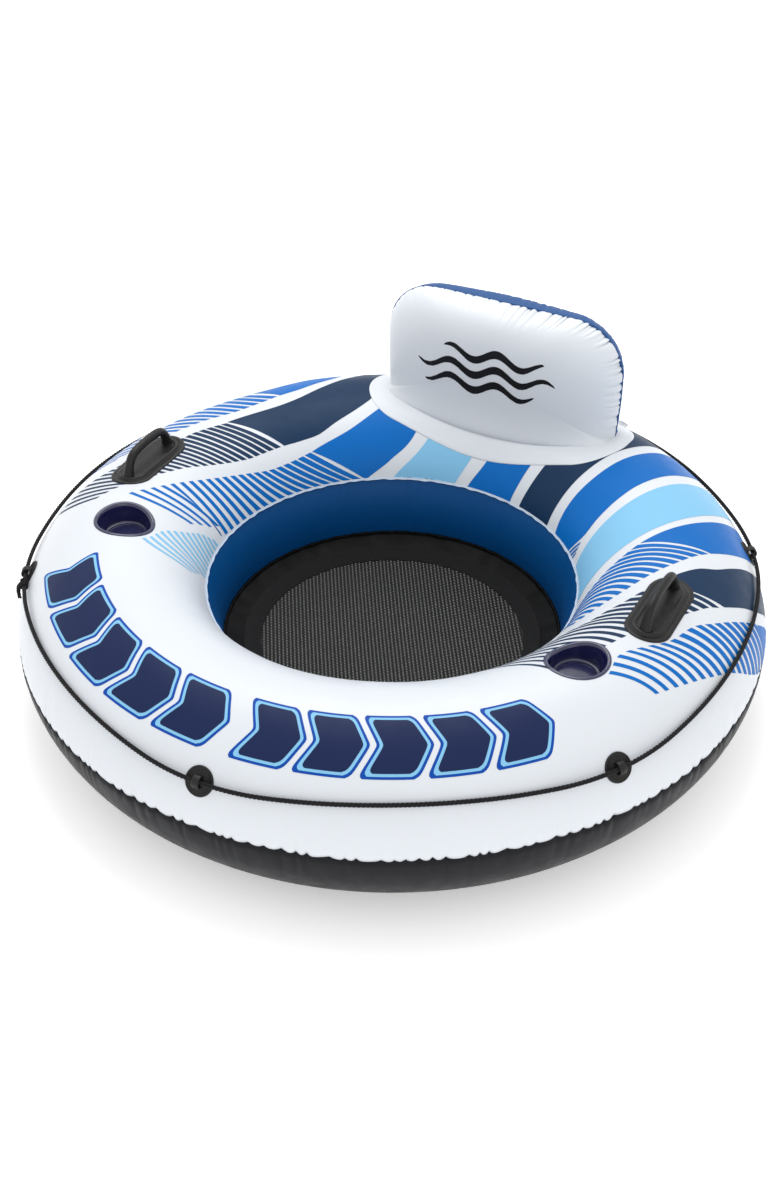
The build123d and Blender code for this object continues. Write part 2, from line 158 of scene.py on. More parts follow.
class Shape:
    """Points and faces of one piece, gathered before its mesh is made."""

    def __init__(self):
        self.points, self.faces, self.count = [], [], 0

    def grid(self, points, wrap_rows=False, wrap_columns=False, keep=None):
        """Quads between neighbours of points given as rows x columns."""
        points = np.asarray(points)
        rows, columns = points.shape[:2]
        index = np.arange(rows * columns).reshape(rows, columns) + self.count
        if wrap_rows:
            index = np.vstack([index, index[:1]])
        if wrap_columns:
            index = np.hstack([index, index[:, :1]])
        quads = np.stack([index[:-1, :-1], index[1:, :-1], index[1:, 1:], index[:-1, 1:]], axis=-1)
        if keep is not None:
            quads = quads[keep]
        self.points.append(points.reshape(-1, 3))
        self.faces.extend(quads.reshape(-1, 4).tolist())
        self.count += rows * columns
        return index

    def cap(self, loop):
        """One face over a closed loop of points that are already there."""
        self.faces.append([int(i) for i in loop])

    def piece(self, name, material, body=None, slot=None, replaces=()):
        mesh = bpy.data.meshes.new(name)
        mesh.from_pydata(np.vstack(self.points).tolist(), [], self.faces)
        mesh.validate()
        mesh.materials.append(material)
        mesh.shade_smooth()
        obj = bpy.data.objects.new(name, mesh)
        bpy.context.scene.collection.objects.link(obj)
        if body:
            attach(obj, body)
        if replaces:
            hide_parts(*replaces)
        return obj


def drop_loose_points(obj):
    """Removes points that no face uses."""
    mesh = obj.data
    used = np.zeros(len(mesh.vertices), bool)
    corners = np.zeros(len(mesh.loops), np.int32)
    mesh.loops.foreach_get("vertex_index", corners)
    used[corners] = True
    if used.all():
        return
    work = bmesh.new()
    work.from_mesh(mesh)
    work.verts.ensure_lookup_table()
    bmesh.ops.delete(work, geom=[work.verts[i] for i in np.flatnonzero(~used)], context="VERTS")
    work.to_mesh(mesh)
    work.free()


def sideways(route, closed, level_limit):
    """Unit vectors to the side of a route and up from it; nearly upright stretches use X to find the side."""
    tangent = np.roll(route, -1, axis=0) - np.roll(route, 1, axis=0) if closed else np.gradient(route, axis=0)
    tangent /= np.linalg.norm(tangent, axis=1)[:, None]
    across = np.cross(tangent, [0.0, 0.0, 1.0])
    weak = np.linalg.norm(across, axis=1) < level_limit
    across[weak] = np.cross(tangent[weak], [1.0, 0.0, 0.0])
    across /= np.linalg.norm(across, axis=1)[:, None]
    return across, np.cross(across, tangent)


def tube(shape, route, radius, sides, closed=False):
    """Tube along a route; its radius may be one number or one for each point."""
    across, up = sideways(route, closed, 1e-3)
    turn = full_circle(sides)[None, :, None]
    radius = np.broadcast_to(radius, len(route))[:, None, None]
    points = route[:, None, :] + radius * (np.cos(turn) * across[:, None, :] + np.sin(turn) * up[:, None, :])
    index = shape.grid(points, wrap_rows=closed, wrap_columns=True)
    if not closed:
        shape.cap(index[0, :-1])
        shape.cap(index[-1, :-1][::-1])


# ---------------------------------------------------------------- the ring's surface

def arc(centre, radius, start, end):
    """Points of an arc of the ring's section, as (radius from the axis, height)."""
    turn = np.radians(np.linspace(start, end, OUTLINE_STEPS))
    return np.stack([centre[0] + radius * np.cos(turn), centre[1] + radius * np.sin(turn)], axis=1)


class Outline:
    """One stretch of the ring's section, from share 0 to share 1 of its length."""

    def __init__(self, *pieces):
        points = np.vstack(pieces)
        points = points[np.diff(lengths_along(points), prepend=-1) > 1e-7]
        length = lengths_along(points)
        self.length = length[-1]
        self.share = length / self.length
        tangent = np.gradient(points, axis=0)
        tangent /= np.linalg.norm(tangent, axis=1)[:, None]
        self.table = np.hstack([points, -tangent[:, 1:], tangent[:, :1]])

    def at(self, share):
        """Radius, height and the outward normal's two parts at a share of the length."""
        return [np.interp(share, self.share, self.table[:, k]) for k in range(4)]


UPPER_CENTRE = (CREST_R, UPPER_Z)
INNER_TOP_CENTRE = (CREST_R, CREST_Z - INNER_TOP_R)
INNER_BOTTOM_CENTRE = (FOOT_R, INNER_BOTTOM_R)

top_outline = Outline(
    arc(INNER_TOP_CENTRE, INNER_TOP_R, RIM_ANGLE, 90),
    arc(UPPER_CENTRE, UPPER_R, 90, UPPER_EDGE),
)
bottom_outline = Outline(
    arc((CREST_R, LOWER_Z), LOWER_R, LOWER_EDGE, -90),
    arc(INNER_BOTTOM_CENTRE, INNER_BOTTOM_R, 270, FLOOR_SEAM_ANGLE),
)
RIM = top_outline.table[0, :2]
FLOOR_SEAM = bottom_outline.table[-1, :2]


def wall_arc():
    """Section of the inner wall: an arc that swells into the well."""
    chord = RIM - FLOOR_SEAM
    length = np.linalg.norm(chord)
    side = np.array([-chord[1], chord[0]]) / length
    along = np.linspace(0, 1, OUTLINE_STEPS)[:, None]
    return FLOOR_SEAM + chord * along + side * WALL_BULGE * 4 * along * (1 - along)


wall_outline = Outline(wall_arc())


def seam_relief(angle, distance):
    """How the sheets sink and how the seam rises, at a distance from the outer weld."""
    fold = 1 - pinches(angle, PUCKER_COUNT, 3)
    reach = np.maximum(PUCKER_REACH * (1.25 + 0.9 * ripple(angle, (31, 47, 83), 5)), 0.006)
    sink = SEAM_GROOVE * np.exp(-(distance / SEAM_GROOVE_REACH) ** 2)
    depth = PUCKER_DEPTH * (1 + 0.5 * ripple(angle, (17, 41), 6))
    sink = sink + depth * fold * np.exp(-distance / reach)
    rise = SCALLOP * fold ** 1.4 - 0.25 * SCALLOP + 0.0010 * ripple(angle, (9, 21, 37), 7)
    return -sink, rise * np.exp(-distance / 0.010)


def swell(angle, share):
    """Slow unevenness of a sheet under pressure."""
    wave = ripple(angle + 1.3 * share, (3, 7, 11, 16), 11) + ripple(angle - 2.1 * share, (5, 9, 14), 12)
    return SWELL * wave * np.sin(math.pi * np.clip(share, 0, 1))


def top_relief(angle, share):
    """How far the top sheet stands in or out, and how far it is raised at its weld."""
    sink, rise = seam_relief(angle, (1 - share) * top_outline.length)
    rim_fold = (1 - pinches(angle, RIM_FOLDS, 8)) * np.exp(-share * top_outline.length / RIM_FOLD_REACH)
    return sink + swell(angle, share) - RIM_FOLD_DEPTH * rim_fold, rise


def bottom_relief(angle, share):
    return seam_relief(angle, share * bottom_outline.length)


def wall_relief(angle, share):
    fold = 1 - pinches(angle, WALL_FOLDS, 9)
    ends = np.exp(-share / 0.30) + np.exp(-(1 - share) / 0.25)
    slow = ripple(angle, (4, 9, 15), 10) * np.sin(math.pi * share)
    return WALL_CREASE * (slow - fold * ends), np.zeros_like(angle)


def on_ring(outline, relief, angle, share, lift=0.0):
    """Points of a sheet at arrays of angle (radians) and share of its outline."""
    radius, height, out, up = outline.at(share)
    sink, rise = relief(angle, share)
    return around_axis(radius + out * (lift + sink), angle, height + up * (lift + sink) + rise)


def on_top(angle, share, lift=0.0):
    return on_ring(top_outline, top_relief, angle, share, lift)


def top_height(x, y):
    """Height and normal of the ring's top above points of the ground plan."""
    radius = np.hypot(x, y)
    inner = radius < CREST_R
    bend = np.where(inner, INNER_TOP_R, UPPER_R)
    level = np.where(inner, INNER_TOP_CENTRE[1], UPPER_Z)
    reach = np.clip((radius - CREST_R) / bend, -0.999, 0.999)
    lift = np.sqrt(1 - reach ** 2)
    normal = np.stack([reach * x / radius, reach * y / radius, lift], axis=-1)
    return level + bend * lift, normal


def on_plan(x, y, lift):
    """Points above the ring's top, given in the ground plan and lifted along its normal."""
    height, normal = top_height(x, y)
    rising = top_outline.table[:, 0] < CREST_R + 0.99 * UPPER_R
    share = np.interp(np.hypot(x, y), top_outline.table[rising, 0], top_outline.share[rising])
    sink, _ = top_relief(np.arctan2(x, -y), share)
    base = np.stack([x, y, height], axis=-1)
    return base + normal * (lift + sink)[..., None]


def share_rows(count, fine_start, fine_end):
    """Shares from 0 to 1, closer together at the ends that need it."""
    t = np.linspace(0, 1, count)
    if fine_end:
        t = 1 - (1 - t) ** fine_end
    if fine_start:
        t = t ** fine_start
    return t


# ---------------------------------------------------------------- materials

def tinted(colour, factor):
    return tuple(min(1.0, channel * factor) for channel in colour)


class Finish:
    """A material whose colour, gloss and bumps come from noise in the object's own space."""

    def __init__(self, name, **settings):
        self.material = bpy.data.materials.new(name)
        self.material.use_nodes = True
        self.tree = self.material.node_tree
        self.shader = self.tree.nodes["Principled BSDF"]
        for socket, value in settings.items():
            self.shader.inputs[socket.replace("_", " ")].default_value = value

    def node(self, kind, links, **settings):
        """A node with settings on its inputs and other nodes' outputs linked to them."""
        node = self.tree.nodes.new(kind)
        for socket, value in settings.items():
            node.inputs[socket.replace("_", " ")].default_value = value
        for socket, value in links.items():
            self.tree.links.new(value, node.inputs[socket])
        return node

    def noise(self, scale, detail):
        place = self.node("ShaderNodeTexCoord", {})
        links = {"Vector": place.outputs["Object"]}
        return self.node("ShaderNodeTexNoise", links, Scale=scale, Detail=detail).outputs["Fac"]

    def spread(self, value, low, high):
        """Maps the middle of a noise onto low to high."""
        ranged = self.node("ShaderNodeMapRange", {"Value": value}, From_Min=0.3, From_Max=0.7,
                           To_Min=low, To_Max=high)
        return ranged.outputs["Result"]

    def colour(self, factor, first, second):
        mix = self.tree.nodes.new("ShaderNodeMix")
        mix.data_type = "RGBA"
        mix.inputs["A"].default_value = (*first, 1)
        mix.inputs["B"].default_value = (*second, 1)
        self.tree.links.new(factor, mix.inputs["Factor"])
        self.tree.links.new(mix.outputs["Result"], self.shader.inputs["Base Color"])

    def roughness(self, value, low, high):
        self.tree.links.new(self.spread(value, low, high), self.shader.inputs["Roughness"])

    def bump(self, height, strength, distance, below=None):
        links = {"Height": height, "Normal": below} if below else {"Height": height}
        bump = self.node("ShaderNodeBump", links, Strength=strength, Distance=distance)
        self.tree.links.new(bump.outputs["Normal"], self.shader.inputs["Normal"])
        return bump.outputs["Normal"]


def vinyl(name, colour, roughness=0.34, change=0.05, coat=0.25, specular=0.5):
    """Calendered vinyl sheet: faint embossed grain, handling marks in the gloss, slow colour change."""
    look = Finish(name, Coat_Weight=coat, Coat_Roughness=0.22, Specular_IOR_Level=specular)
    look.colour(look.noise(5.0, 2.0), tinted(colour, 1 - change), tinted(colour, 1 + change))
    look.roughness(look.noise(38.0, 4.0), roughness - 0.05, roughness + 0.07)
    wavy = look.bump(look.noise(26.0, 2.0), 0.12, 0.0020)
    look.bump(look.noise(900.0, 2.0), 0.25, 0.00012, wavy)
    return look.material


def ink(name, colour, change=0.05):
    """Printing ink on the vinyl: it takes the sheet's grain and shines less."""
    return vinyl(name, colour, 0.42, change, 0.0, 0.14)


def moulding(name, colour, roughness, specular=0.5):
    """Moulded soft plastic with a fine spark-eroded grain and slightly paler, rubbed places."""
    look = Finish(name, Specular_IOR_Level=specular)
    look.colour(look.spread(look.noise(60.0, 5.0), 0, 1), tinted(colour, 0.85), tinted(colour, 1.35))
    look.roughness(look.noise(150.0, 3.0), roughness - 0.06, roughness + 0.08)
    look.bump(look.noise(1400.0, 2.0), 0.35, 0.0002)
    return look.material


def fabric(name, colour, thread, depth, roughness=0.75):
    """Woven or twisted yarn: threads about `thread` metres apart in the bump and in the tone."""
    look = Finish(name, Roughness=roughness, Specular_IOR_Level=0.15, Sheen_Weight=0.04,
                  Sheen_Roughness=0.5)
    fibres = look.noise(1.0 / thread, 2.0)
    look.colour(look.spread(fibres, 0, 1), tinted(colour, 0.6), tinted(colour, 1.6))
    look.bump(fibres, 0.6, depth)
    return look.material


def clear_vinyl(name, colour):
    """Tinted glossy vinyl of the cups, a little light showing through it."""
    look = Finish(name, Coat_Weight=0.6, Coat_Roughness=0.08, Subsurface_Weight=0.08,
                  Subsurface_Radius=(0.004, 0.004, 0.012))
    look.colour(look.noise(14.0, 3.0), tinted(colour, 0.7), tinted(colour, 1.4))
    look.roughness(look.noise(45.0, 3.0), 0.12, 0.22)
    look.bump(look.noise(60.0, 2.0), 0.15, 0.0008)
    return look.material


white_vinyl = vinyl("white_vinyl_sheet", (0.650, 0.680, 0.720), 0.40, 0.015, 0.12, 0.35)
blue_wall_vinyl = vinyl("blue_vinyl_sheet", (0.0005, 0.058, 0.200), 0.42, 0.06, 0.0, 0.15)
black_vinyl = vinyl("black_vinyl_sheet", (0.0050, 0.0052, 0.0075), 0.42, 0.10, 0.0, 0.16)
black_skirt_vinyl = vinyl("black_skirt_sheet", (0.0030, 0.0030, 0.0030), 0.5, 0.15, 0.0, 0.10)
navy_back_vinyl = vinyl("navy_back_sheet", (0.022, 0.080, 0.230), 0.44, 0.06, 0.0, 0.15)
pale_seam_vinyl = vinyl("pale_seam_sheet", (0.42, 0.52, 0.66), 0.30, 0.04)
ink_navy = ink("ink_navy", (0.0060, 0.0280, 0.0740))
ink_deep_navy = ink("ink_deep_navy", (0.0080, 0.0170, 0.0680))
ink_blue = ink("ink_blue", (0.0000, 0.1280, 0.4550))
ink_outline = ink("ink_outline_blue", (0.0015, 0.0600, 0.3500))
ink_sky = ink("ink_sky", (0.215, 0.490, 0.720), 0.03)
ink_black = ink("ink_black", (0.010, 0.010, 0.012), 0.08)
black_plastic = moulding("black_moulding", (0.0075, 0.0075, 0.0070), 0.42, 0.3)
cup_vinyl = clear_vinyl("cup_clear_vinyl", (0.0090, 0.0100, 0.0520))
webbing = fabric("binding_webbing", (0.0060, 0.0060, 0.0061), 0.0016, 0.0006)
net_yarn = fabric("net_yarn", (0.0050, 0.0050, 0.0050), 0.0011, 0.0003, 0.6)
rope_yarn = fabric("rope_yarn", (0.0075, 0.0072, 0.0085), 0.0009, 0.0004, 0.62)
stitch_thread = fabric("stitch_thread", (0.020, 0.020, 0.021), 0.0005, 0.0001, 0.6)


# ---------------------------------------------------------------- the ring

RING_COLUMNS = 1440


def cup_centre(side):
    """Place of a cup's axis in the ground plan; side is -1 for left and 1 for right."""
    turn = side * math.radians(CUP_ANGLE)
    return np.array([CUP_R * math.sin(turn), -CUP_R * math.cos(turn)])


def leave_cups(points, lift=0.0):
    """Moves points of the ring's top that lie in a cup's mouth to its edge, and says which they are."""
    inside = np.zeros(points.shape[:-1], bool)
    for side in (-1, 1):
        step = points[..., :2] - cup_centre(side)
        reach = np.linalg.norm(step, axis=-1)
        near = (reach < CUP_HOLE) & (points[..., 2] > SEAM_Z)
        edge = cup_centre(side) + step[near] * (CUP_HOLE / reach[near])[:, None]
        points[near] = on_plan(edge[:, 0], edge[:, 1], lift)
        inside |= near
    return inside


def ring_sheet(outline, relief, rows, cut_cups=False):
    """Sheet all round the ring, as a closed band of quads."""
    angle = full_circle(RING_COLUMNS, -math.pi)
    turn, share = np.meshgrid(angle, rows)
    points = on_ring(outline, relief, turn, share)
    shape = Shape()
    keep = None
    if cut_cups:
        inside = leave_cups(points)
        inside = inside & np.roll(inside, -1, axis=1)
        keep = ~(inside[:-1] & inside[1:])
    shape.grid(points, wrap_columns=True, keep=keep)
    return shape


def ring_sheets():
    top = ring_sheet(top_outline, top_relief, share_rows(66, 0, 1.7), cut_cups=True)
    top = top.piece("ring_top_sheet", white_vinyl, "ring", "white_vinyl", ["ring_top_skin"])
    drop_loose_points(top)
    bottom = ring_sheet(bottom_outline, bottom_relief, share_rows(50, 1.9, 0))
    bottom.piece("ring_bottom_sheet", black_vinyl, "ring", "black_vinyl", ["ring_bottom_skin"])
    wall = ring_sheet(wall_outline, wall_relief, share_rows(22, 0, 0))
    wall.piece("ring_wall_sheet", blue_wall_vinyl, "ring", "blue_vinyl", ["ring_inner_wall"])


FIN_SECTION = ((0.0, -0.5), (0.75, -0.5), (1.0, -0.22), (1.0, 0.22), (0.75, 0.5), (0.0, 0.5))


def seam_strip(radius_in, radius_out, height, thickness, wave, rise):
    """Flat weld fin around the axis, with a rounded edge."""
    angle = full_circle(RING_COLUMNS, -math.pi)
    rows = []
    for reach, level in FIN_SECTION:
        radius = radius_in + (radius_out - radius_in) * reach + wave(angle) * reach
        lift = height + level * thickness + rise(angle)
        rows.append(around_axis(radius, angle, lift))
    shape = Shape()
    shape.grid(rows, wrap_rows=True, wrap_columns=True)
    return shape


def weld_seams():
    """The fins of the three welds around the ring, each a little wavy."""
    def outer_rise(angle):
        return seam_relief(angle, np.zeros_like(angle))[1]

    def outer_wave(angle):
        return 0.0008 * (pinches(angle, PUCKER_COUNT, 3) - 0.6)

    def thin_wave(angle):
        return 0.0005 * ripple(angle, (40, 63, 91), 21)

    outer = seam_strip(*OUTER_FIN, SEAM_Z, OUTER_FIN_THICK, outer_wave, outer_rise)
    outer.piece("outer_seam_strip", black_vinyl, "ring", "black_vinyl", ["outer_weld_seam"])
    rim = seam_strip(RIM[0] + FIN_ROOT, RIM[0] - RIM_FIN, RIM[1], RIM_FIN_THICK, thin_wave, thin_wave)
    rim.piece("rim_seam_strip", pale_seam_vinyl, "ring", "blue_vinyl", ["rim_weld_seam"])
    radius, height = FLOOR_SEAM
    floor = seam_strip(radius + FIN_ROOT, radius - FLOOR_FIN, height, FLOOR_FIN_THICK, thin_wave, thin_wave)
    floor.piece("floor_seam_strip", black_skirt_vinyl, "ring", "black_vinyl", ["floor_weld_seam"])


# ---------------------------------------------------------------- the print

def degrees_share(points):
    """Control points given as (degrees, share of the top outline), in radians."""
    points = np.asarray(points, float)
    return np.stack([np.radians(points[:, 0]), points[:, 1]], axis=1)


def print_patch(shape, first, second):
    """Patch of print between two edge curves."""
    first = smooth_curve(degrees_share(first), PATCH_STEPS)
    second = smooth_curve(degrees_share(second), PATCH_STEPS)
    mix = np.linspace(0, 1, PATCH_ACROSS)[None, :, None]
    lay(shape, first[:, None, :] * (1 - mix) + second[:, None, :] * mix)


def lay(shape, place, lift=PRINT_LIFT):
    """Adds a grid of (angle, share) places as print facing outwards, left out inside the cups."""
    down = place[-1, 0] - place[0, 0]
    along = place[0, -1] - place[0, 0]
    if down[1] * along[0] - down[0] * along[1] < 0:
        place = place[:, ::-1]
    share = np.clip(place[..., 1], PRINT_TOP, PRINT_BOTTOM)
    near_seam = np.exp(-(1 - share) * top_outline.length / PRINT_SEAM_REACH)
    points = on_top(place[..., 0], share, lift + PRINT_SEAM_LIFT * near_seam)
    inside = leave_cups(points, lift)
    shape.grid(points, keep=~(inside[:-1, :-1] & inside[1:, 1:]))


def hatch(shape, starts, ends, count, inks, bows, steps=40):
    """Fan of tapering stripes that run from one edge curve to another.

    inks gives the inked part of a stripe's pitch at the first and last stripe, and bows how far
    the stripes bend, as a share of their length."""
    starts = smooth_curve(degrees_share(starts), count * 8 + 1)
    ends = smooth_curve(degrees_share(ends), count * 8 + 1)
    run = np.linspace(0, 1, steps)[:, None]

    def line(place):
        k = place * 8
        a = np.array([np.interp(k, np.arange(len(starts)), starts[:, i]) for i in (0, 1)])
        b = np.array([np.interp(k, np.arange(len(ends)), ends[:, i]) for i in (0, 1)])
        bow = bows[0] + (bows[1] - bows[0]) * place / count
        step = b - a
        side = np.array([step[1], -step[0]])
        return a * (1 - run) + b * run + 4 * run * (1 - run) * bow * side

    for i in range(count):
        ink = inks[0] + (inks[1] - inks[0]) * i / (count - 1)
        edges = [line(i + 1 - ink + ink * k / 2) for k in range(3)]
        lay(shape, np.stack(edges, axis=1))


def blue_print(shape):
    print_patch(
        shape,
        [(165, 0), (163, 0.18), (160.5, 0.6), (160, 1)],
        [(181.5, 0), (176, 0.18), (172, 0.6), (170.5, 1)])
    print_patch(
        shape,
        [(132, 0), (129, 0.1), (130, 0.185), (132, 0.3), (134, 0.41), (136.5, 0.615), (139, 0.78),
         (141.5, 1)],
        [(142, 0), (143, 0.11), (143.5, 0.285), (144.5, 0.47), (145, 0.6), (146, 0.78), (148, 1)])
    hatch(
        shape,
        [(132, 0), (127.5, 0)],
        [(128.5, 0.09), (127, 0.03)],
        count=3, inks=(0.6, 0.6), bows=(0, 0), steps=10)
    # the band above the right handle
    print_patch(
        shape,
        [(112, 0.32), (115.5, 0.42), (119.5, 0.565), (124, 0.75), (129, 1)],
        [(110, 0.585), (114, 0.715), (118, 0.85), (122.5, 1)])
    hatch(
        shape,
        [(112, 0.32), (109, 0.255), (105.5, 0.18), (102, 0.12), (99.5, 0.08), (95, 0.04), (88, 0.07),
         (80, 0.1)],
        [(110, 0.585), (107.5, 0.52), (104, 0.455), (100.5, 0.395), (97, 0.345), (92, 0.29), (88, 0.247),
         (84, 0.2), (81, 0.163)],
        count=15, inks=(0.72, 0.5), bows=(-0.02, 0.2))
    # the band outboard of the right cup
    print_patch(
        shape,
        [(102, 0.845), (105, 0.91), (107, 0.96), (108.5, 1)],
        [(101.5, 0.92), (102, 0.95), (102.5, 0.975), (103, 1)])
    hatch(
        shape,
        [(102, 0.84), (96.5, 0.73), (92, 0.655), (88, 0.6), (82, 0.57), (77, 0.52), (72, 0.49), (67, 0.53)],
        [(102.5, 1), (97, 0.97), (93, 0.91), (88, 0.82), (82, 0.75), (76.5, 0.705), (71.5, 0.675)],
        count=18, inks=(0.74, 0.38), bows=(0.03, 0.07))
    # the band over the left shoulder
    print_patch(
        shape,
        [(-170, 1), (-168, 0.62), (-164, 0.45), (-159.5, 0.19), (-152.5, 0.08), (-144, 0)],
        [(-163, 1), (-161.5, 0.75), (-157.5, 0.56), (-153.5, 0.39), (-150, 0.315), (-140.5, 0.215),
         (-128, 0.15)])
    hatch(
        shape,
        [(-144, 0), (-88.5, 0.01), (-85, 0.06), (-81, 0.09), (-77.5, 0.135), (-75, 0.165)],
        [(-128, 0.15), (-122, 0.135), (-116, 0.13), (-110, 0.14), (-99, 0.19), (-89, 0.26), (-80, 0.355),
         (-75, 0.435)],
        count=22, inks=(0.78, 0.36), bows=(0.03, 0.07), steps=36)
    # the short band behind the left handle
    print_patch(
        shape,
        [(-148, 1), (-146, 0.75), (-142, 0.6), (-140, 0.56), (-136, 0.525), (-131.5, 0.49), (-127, 0.475)],
        [(-144, 1), (-142, 0.85), (-138.5, 0.7), (-135, 0.62), (-128.5, 0.585), (-123, 0.58)])
    hatch(
        shape,
        [(-127, 0.475), (-122, 0.46), (-115, 0.455), (-108, 0.48), (-102.5, 0.5), (-94.5, 0.545),
         (-88, 0.63)],
        [(-122.5, 0.575), (-114, 0.585), (-106, 0.61), (-102, 0.625), (-95.5, 0.7), (-86, 0.755)],
        count=17, inks=(0.7, 0.4), bows=(0.05, 0.05))


def navy_print(shape):
    print_patch(
        shape,
        [(147, 0), (147, 0.23), (147.5, 0.47), (148.5, 0.75), (150, 1)],
        [(161, 0), (159, 0.19), (157.5, 0.6), (157, 1)])
    # the band under the right handle
    print_patch(
        shape,
        [(96, 0.42), (99, 0.455), (101, 0.48), (104, 0.54), (106, 0.61), (109, 0.68), (112, 0.76),
         (116, 0.91), (118, 1)],
        [(97.5, 0.67), (101.5, 0.755), (104, 0.82), (107.5, 0.9), (110, 0.96), (111.5, 1)])
    hatch(
        shape,
        [(96, 0.42), (92.5, 0.37), (88, 0.33), (84, 0.29), (80, 0.26), (73, 0.185), (60.5, 0.165),
         (48, 0.19)],
        [(97, 0.665), (95, 0.62), (92, 0.58), (84, 0.49), (78, 0.45), (73, 0.43), (65, 0.41), (59, 0.395)],
        count=17, inks=(0.66, 0.34), bows=(0.03, 0.1))
    # the band over the left handle
    print_patch(
        shape,
        [(-160, 1), (-159, 0.8), (-154.5, 0.6), (-151, 0.45), (-148, 0.37), (-143.5, 0.31), (-137, 0.255),
         (-131.5, 0.215), (-125.5, 0.205), (-120.5, 0.205)],
        [(-153, 1), (-151, 0.8), (-147, 0.62), (-145, 0.57), (-142, 0.535), (-137, 0.48), (-131.5, 0.43),
         (-126, 0.405), (-120, 0.4), (-111, 0.41)])
    hatch(
        shape,
        [(-120, 0.205), (-113, 0.205), (-108, 0.21), (-102, 0.235), (-96, 0.275), (-91, 0.32), (-86, 0.365),
         (-81, 0.42), (-76, 0.505), (-73, 0.555)],
        [(-111, 0.405), (-102.5, 0.44), (-99, 0.45), (-92, 0.5), (-85, 0.57), (-80, 0.655), (-76, 0.715),
         (-73, 0.745)],
        count=23, inks=(0.74, 0.42), bows=(0.03, 0.05))


def sky_print(shape):
    print_patch(
        shape,
        [(-174, 0), (-179, 0.18), (-184, 0.6), (-186, 1)],
        [(-153, 0), (-164, 0.19), (-171, 0.6), (-172, 1)])
    print_patch(
        shape,
        [(104, 0), (110, 0.165), (115.5, 0.345), (121.5, 0.56), (127, 0.77), (133, 1)],
        [(123, 0), (127, 0.215), (131, 0.44), (134.5, 0.7), (137.5, 1)])
    hatch(
        shape,
        [(-81, 0.01), (-63, 0.01), (-61, 0.04), (-58, 0.075), (-56, 0.11)],
        [(-80, 0.03), (-78, 0.06), (-75, 0.11), (-71, 0.16), (-68, 0.21), (-65, 0.26), (-61, 0.3),
         (-59.5, 0.33)],
        count=13, inks=(0.55, 0.42), bows=(0.05, 0.14), steps=16)


CHEVRON_TIP, CHEVRON_HEIGHT, CHEVRON_GAP = 0.028, 0.108, 0.010
CHEVRON_CORNER, CHEVRON_SLANT = 0.007, 1.15
CHEVRON_ROW = [(-54, 0.600), (-25, 0.615), (0, 0.610), (25, 0.605), (53, 0.605)]
CHEVRON_GROUPS = ((-53.5, 0.5, 5), (3.5, 52.5, 5))
OUTLINE_BLUE, OUTLINE_SKY = 0.0042, 0.0088


def chevron(shape, middle, pitch, inset, lift):
    """One arrow-shaped block of the row at the front, drawn in by an inset."""
    share = np.interp(middle, *np.transpose(CHEVRON_ROW))
    radius, _, _, _ = top_outline.at(share)
    half = CHEVRON_HEIGHT / 2
    y = np.linspace(-half + inset, half - inset, 33)
    level = np.abs(y) / half
    fold = CHEVRON_TIP * (0.5 - np.sqrt(level ** 2 + 0.004))
    corner = CHEVRON_CORNER * np.clip(level / (1 - inset / half), 0, 1) ** 14
    width = math.radians(pitch) * float(radius) - CHEVRON_GAP
    left = fold - width / 2 + CHEVRON_SLANT * inset + corner
    right = fold + width / 2 - CHEVRON_SLANT * inset - corner
    across = np.linspace(0, 1, 15)[None, :]
    x = left[:, None] * (1 - across) + right[:, None] * across
    down = np.broadcast_to((share + y / top_outline.length)[:, None], x.shape)
    lay(shape, np.stack([math.radians(middle) + x / float(radius), down], axis=-1), lift)


def front_print():
    """Two groups of generic arrow-shaped blocks in three nested colours."""
    layers = (
        ("print_block_outlines", ink_outline, "blue_vinyl", 0.0, 1),
        ("print_block_borders", ink_sky, "blue_vinyl", OUTLINE_BLUE, 2),
        ("print_block_fills", ink_deep_navy, "navy_vinyl", OUTLINE_SKY, 3),
    )
    for name, ink, slot, inset, level in layers:
        shape = Shape()
        for start, end, count in CHEVRON_GROUPS:
            pitch = (end - start) / count
            for i in range(count):
                chevron(shape, start + pitch * (i + 0.5), pitch, inset, PRINT_LIFT * level)
        shape.piece(name, ink, "ring", slot)


def ring_print():
    for name, ink, slot, draw in (
        ("print_blue", ink_blue, "blue_vinyl", blue_print),
        ("print_navy", ink_navy, "navy_vinyl", navy_print),
        ("print_sky", ink_sky, "blue_vinyl", sky_print),
    ):
        shape = Shape()
        draw(shape)
        drop_loose_points(shape.piece(name, ink, "ring", slot))
    front_print()


# ---------------------------------------------------------------- the mesh floor

def floor_height(radius):
    """Height of the floor's cone, which rises outwards."""
    return FLOOR_Z + (radius - FLOOR_R) * FLOOR_SLOPE


def lathe(profile, wave, columns=480):
    """Closed band around the axis from a section of (radius, height) points."""
    angle = full_circle(columns, -math.pi)
    rows = []
    for radius, height in profile:
        rows.append(around_axis(radius, angle, height + wave(angle, radius)))
    shape = Shape()
    shape.grid(rows, wrap_rows=True, wrap_columns=True)
    return shape


def floor_skirt():
    def wave(angle, radius):
        near_weld = (radius - SKIRT_IN_R) / (SKIRT_OUT_R - SKIRT_IN_R)
        return 0.0009 * near_weld * ripple(angle, (14, 23, 37, 52), 31)

    radii = np.linspace(SKIRT_IN_R, SKIRT_OUT_R, 9)
    upper = [(r, floor_height(r) + SKIRT_TOP) for r in radii]
    lower = [(r, floor_height(r) + SKIRT_UNDER) for r in radii[::-1]]
    shape = lathe(upper[::-1] + lower[::-1], wave)
    shape.piece("floor_skirt_sheet", black_skirt_vinyl, "ring", "black_vinyl", ["floor_skirt"])


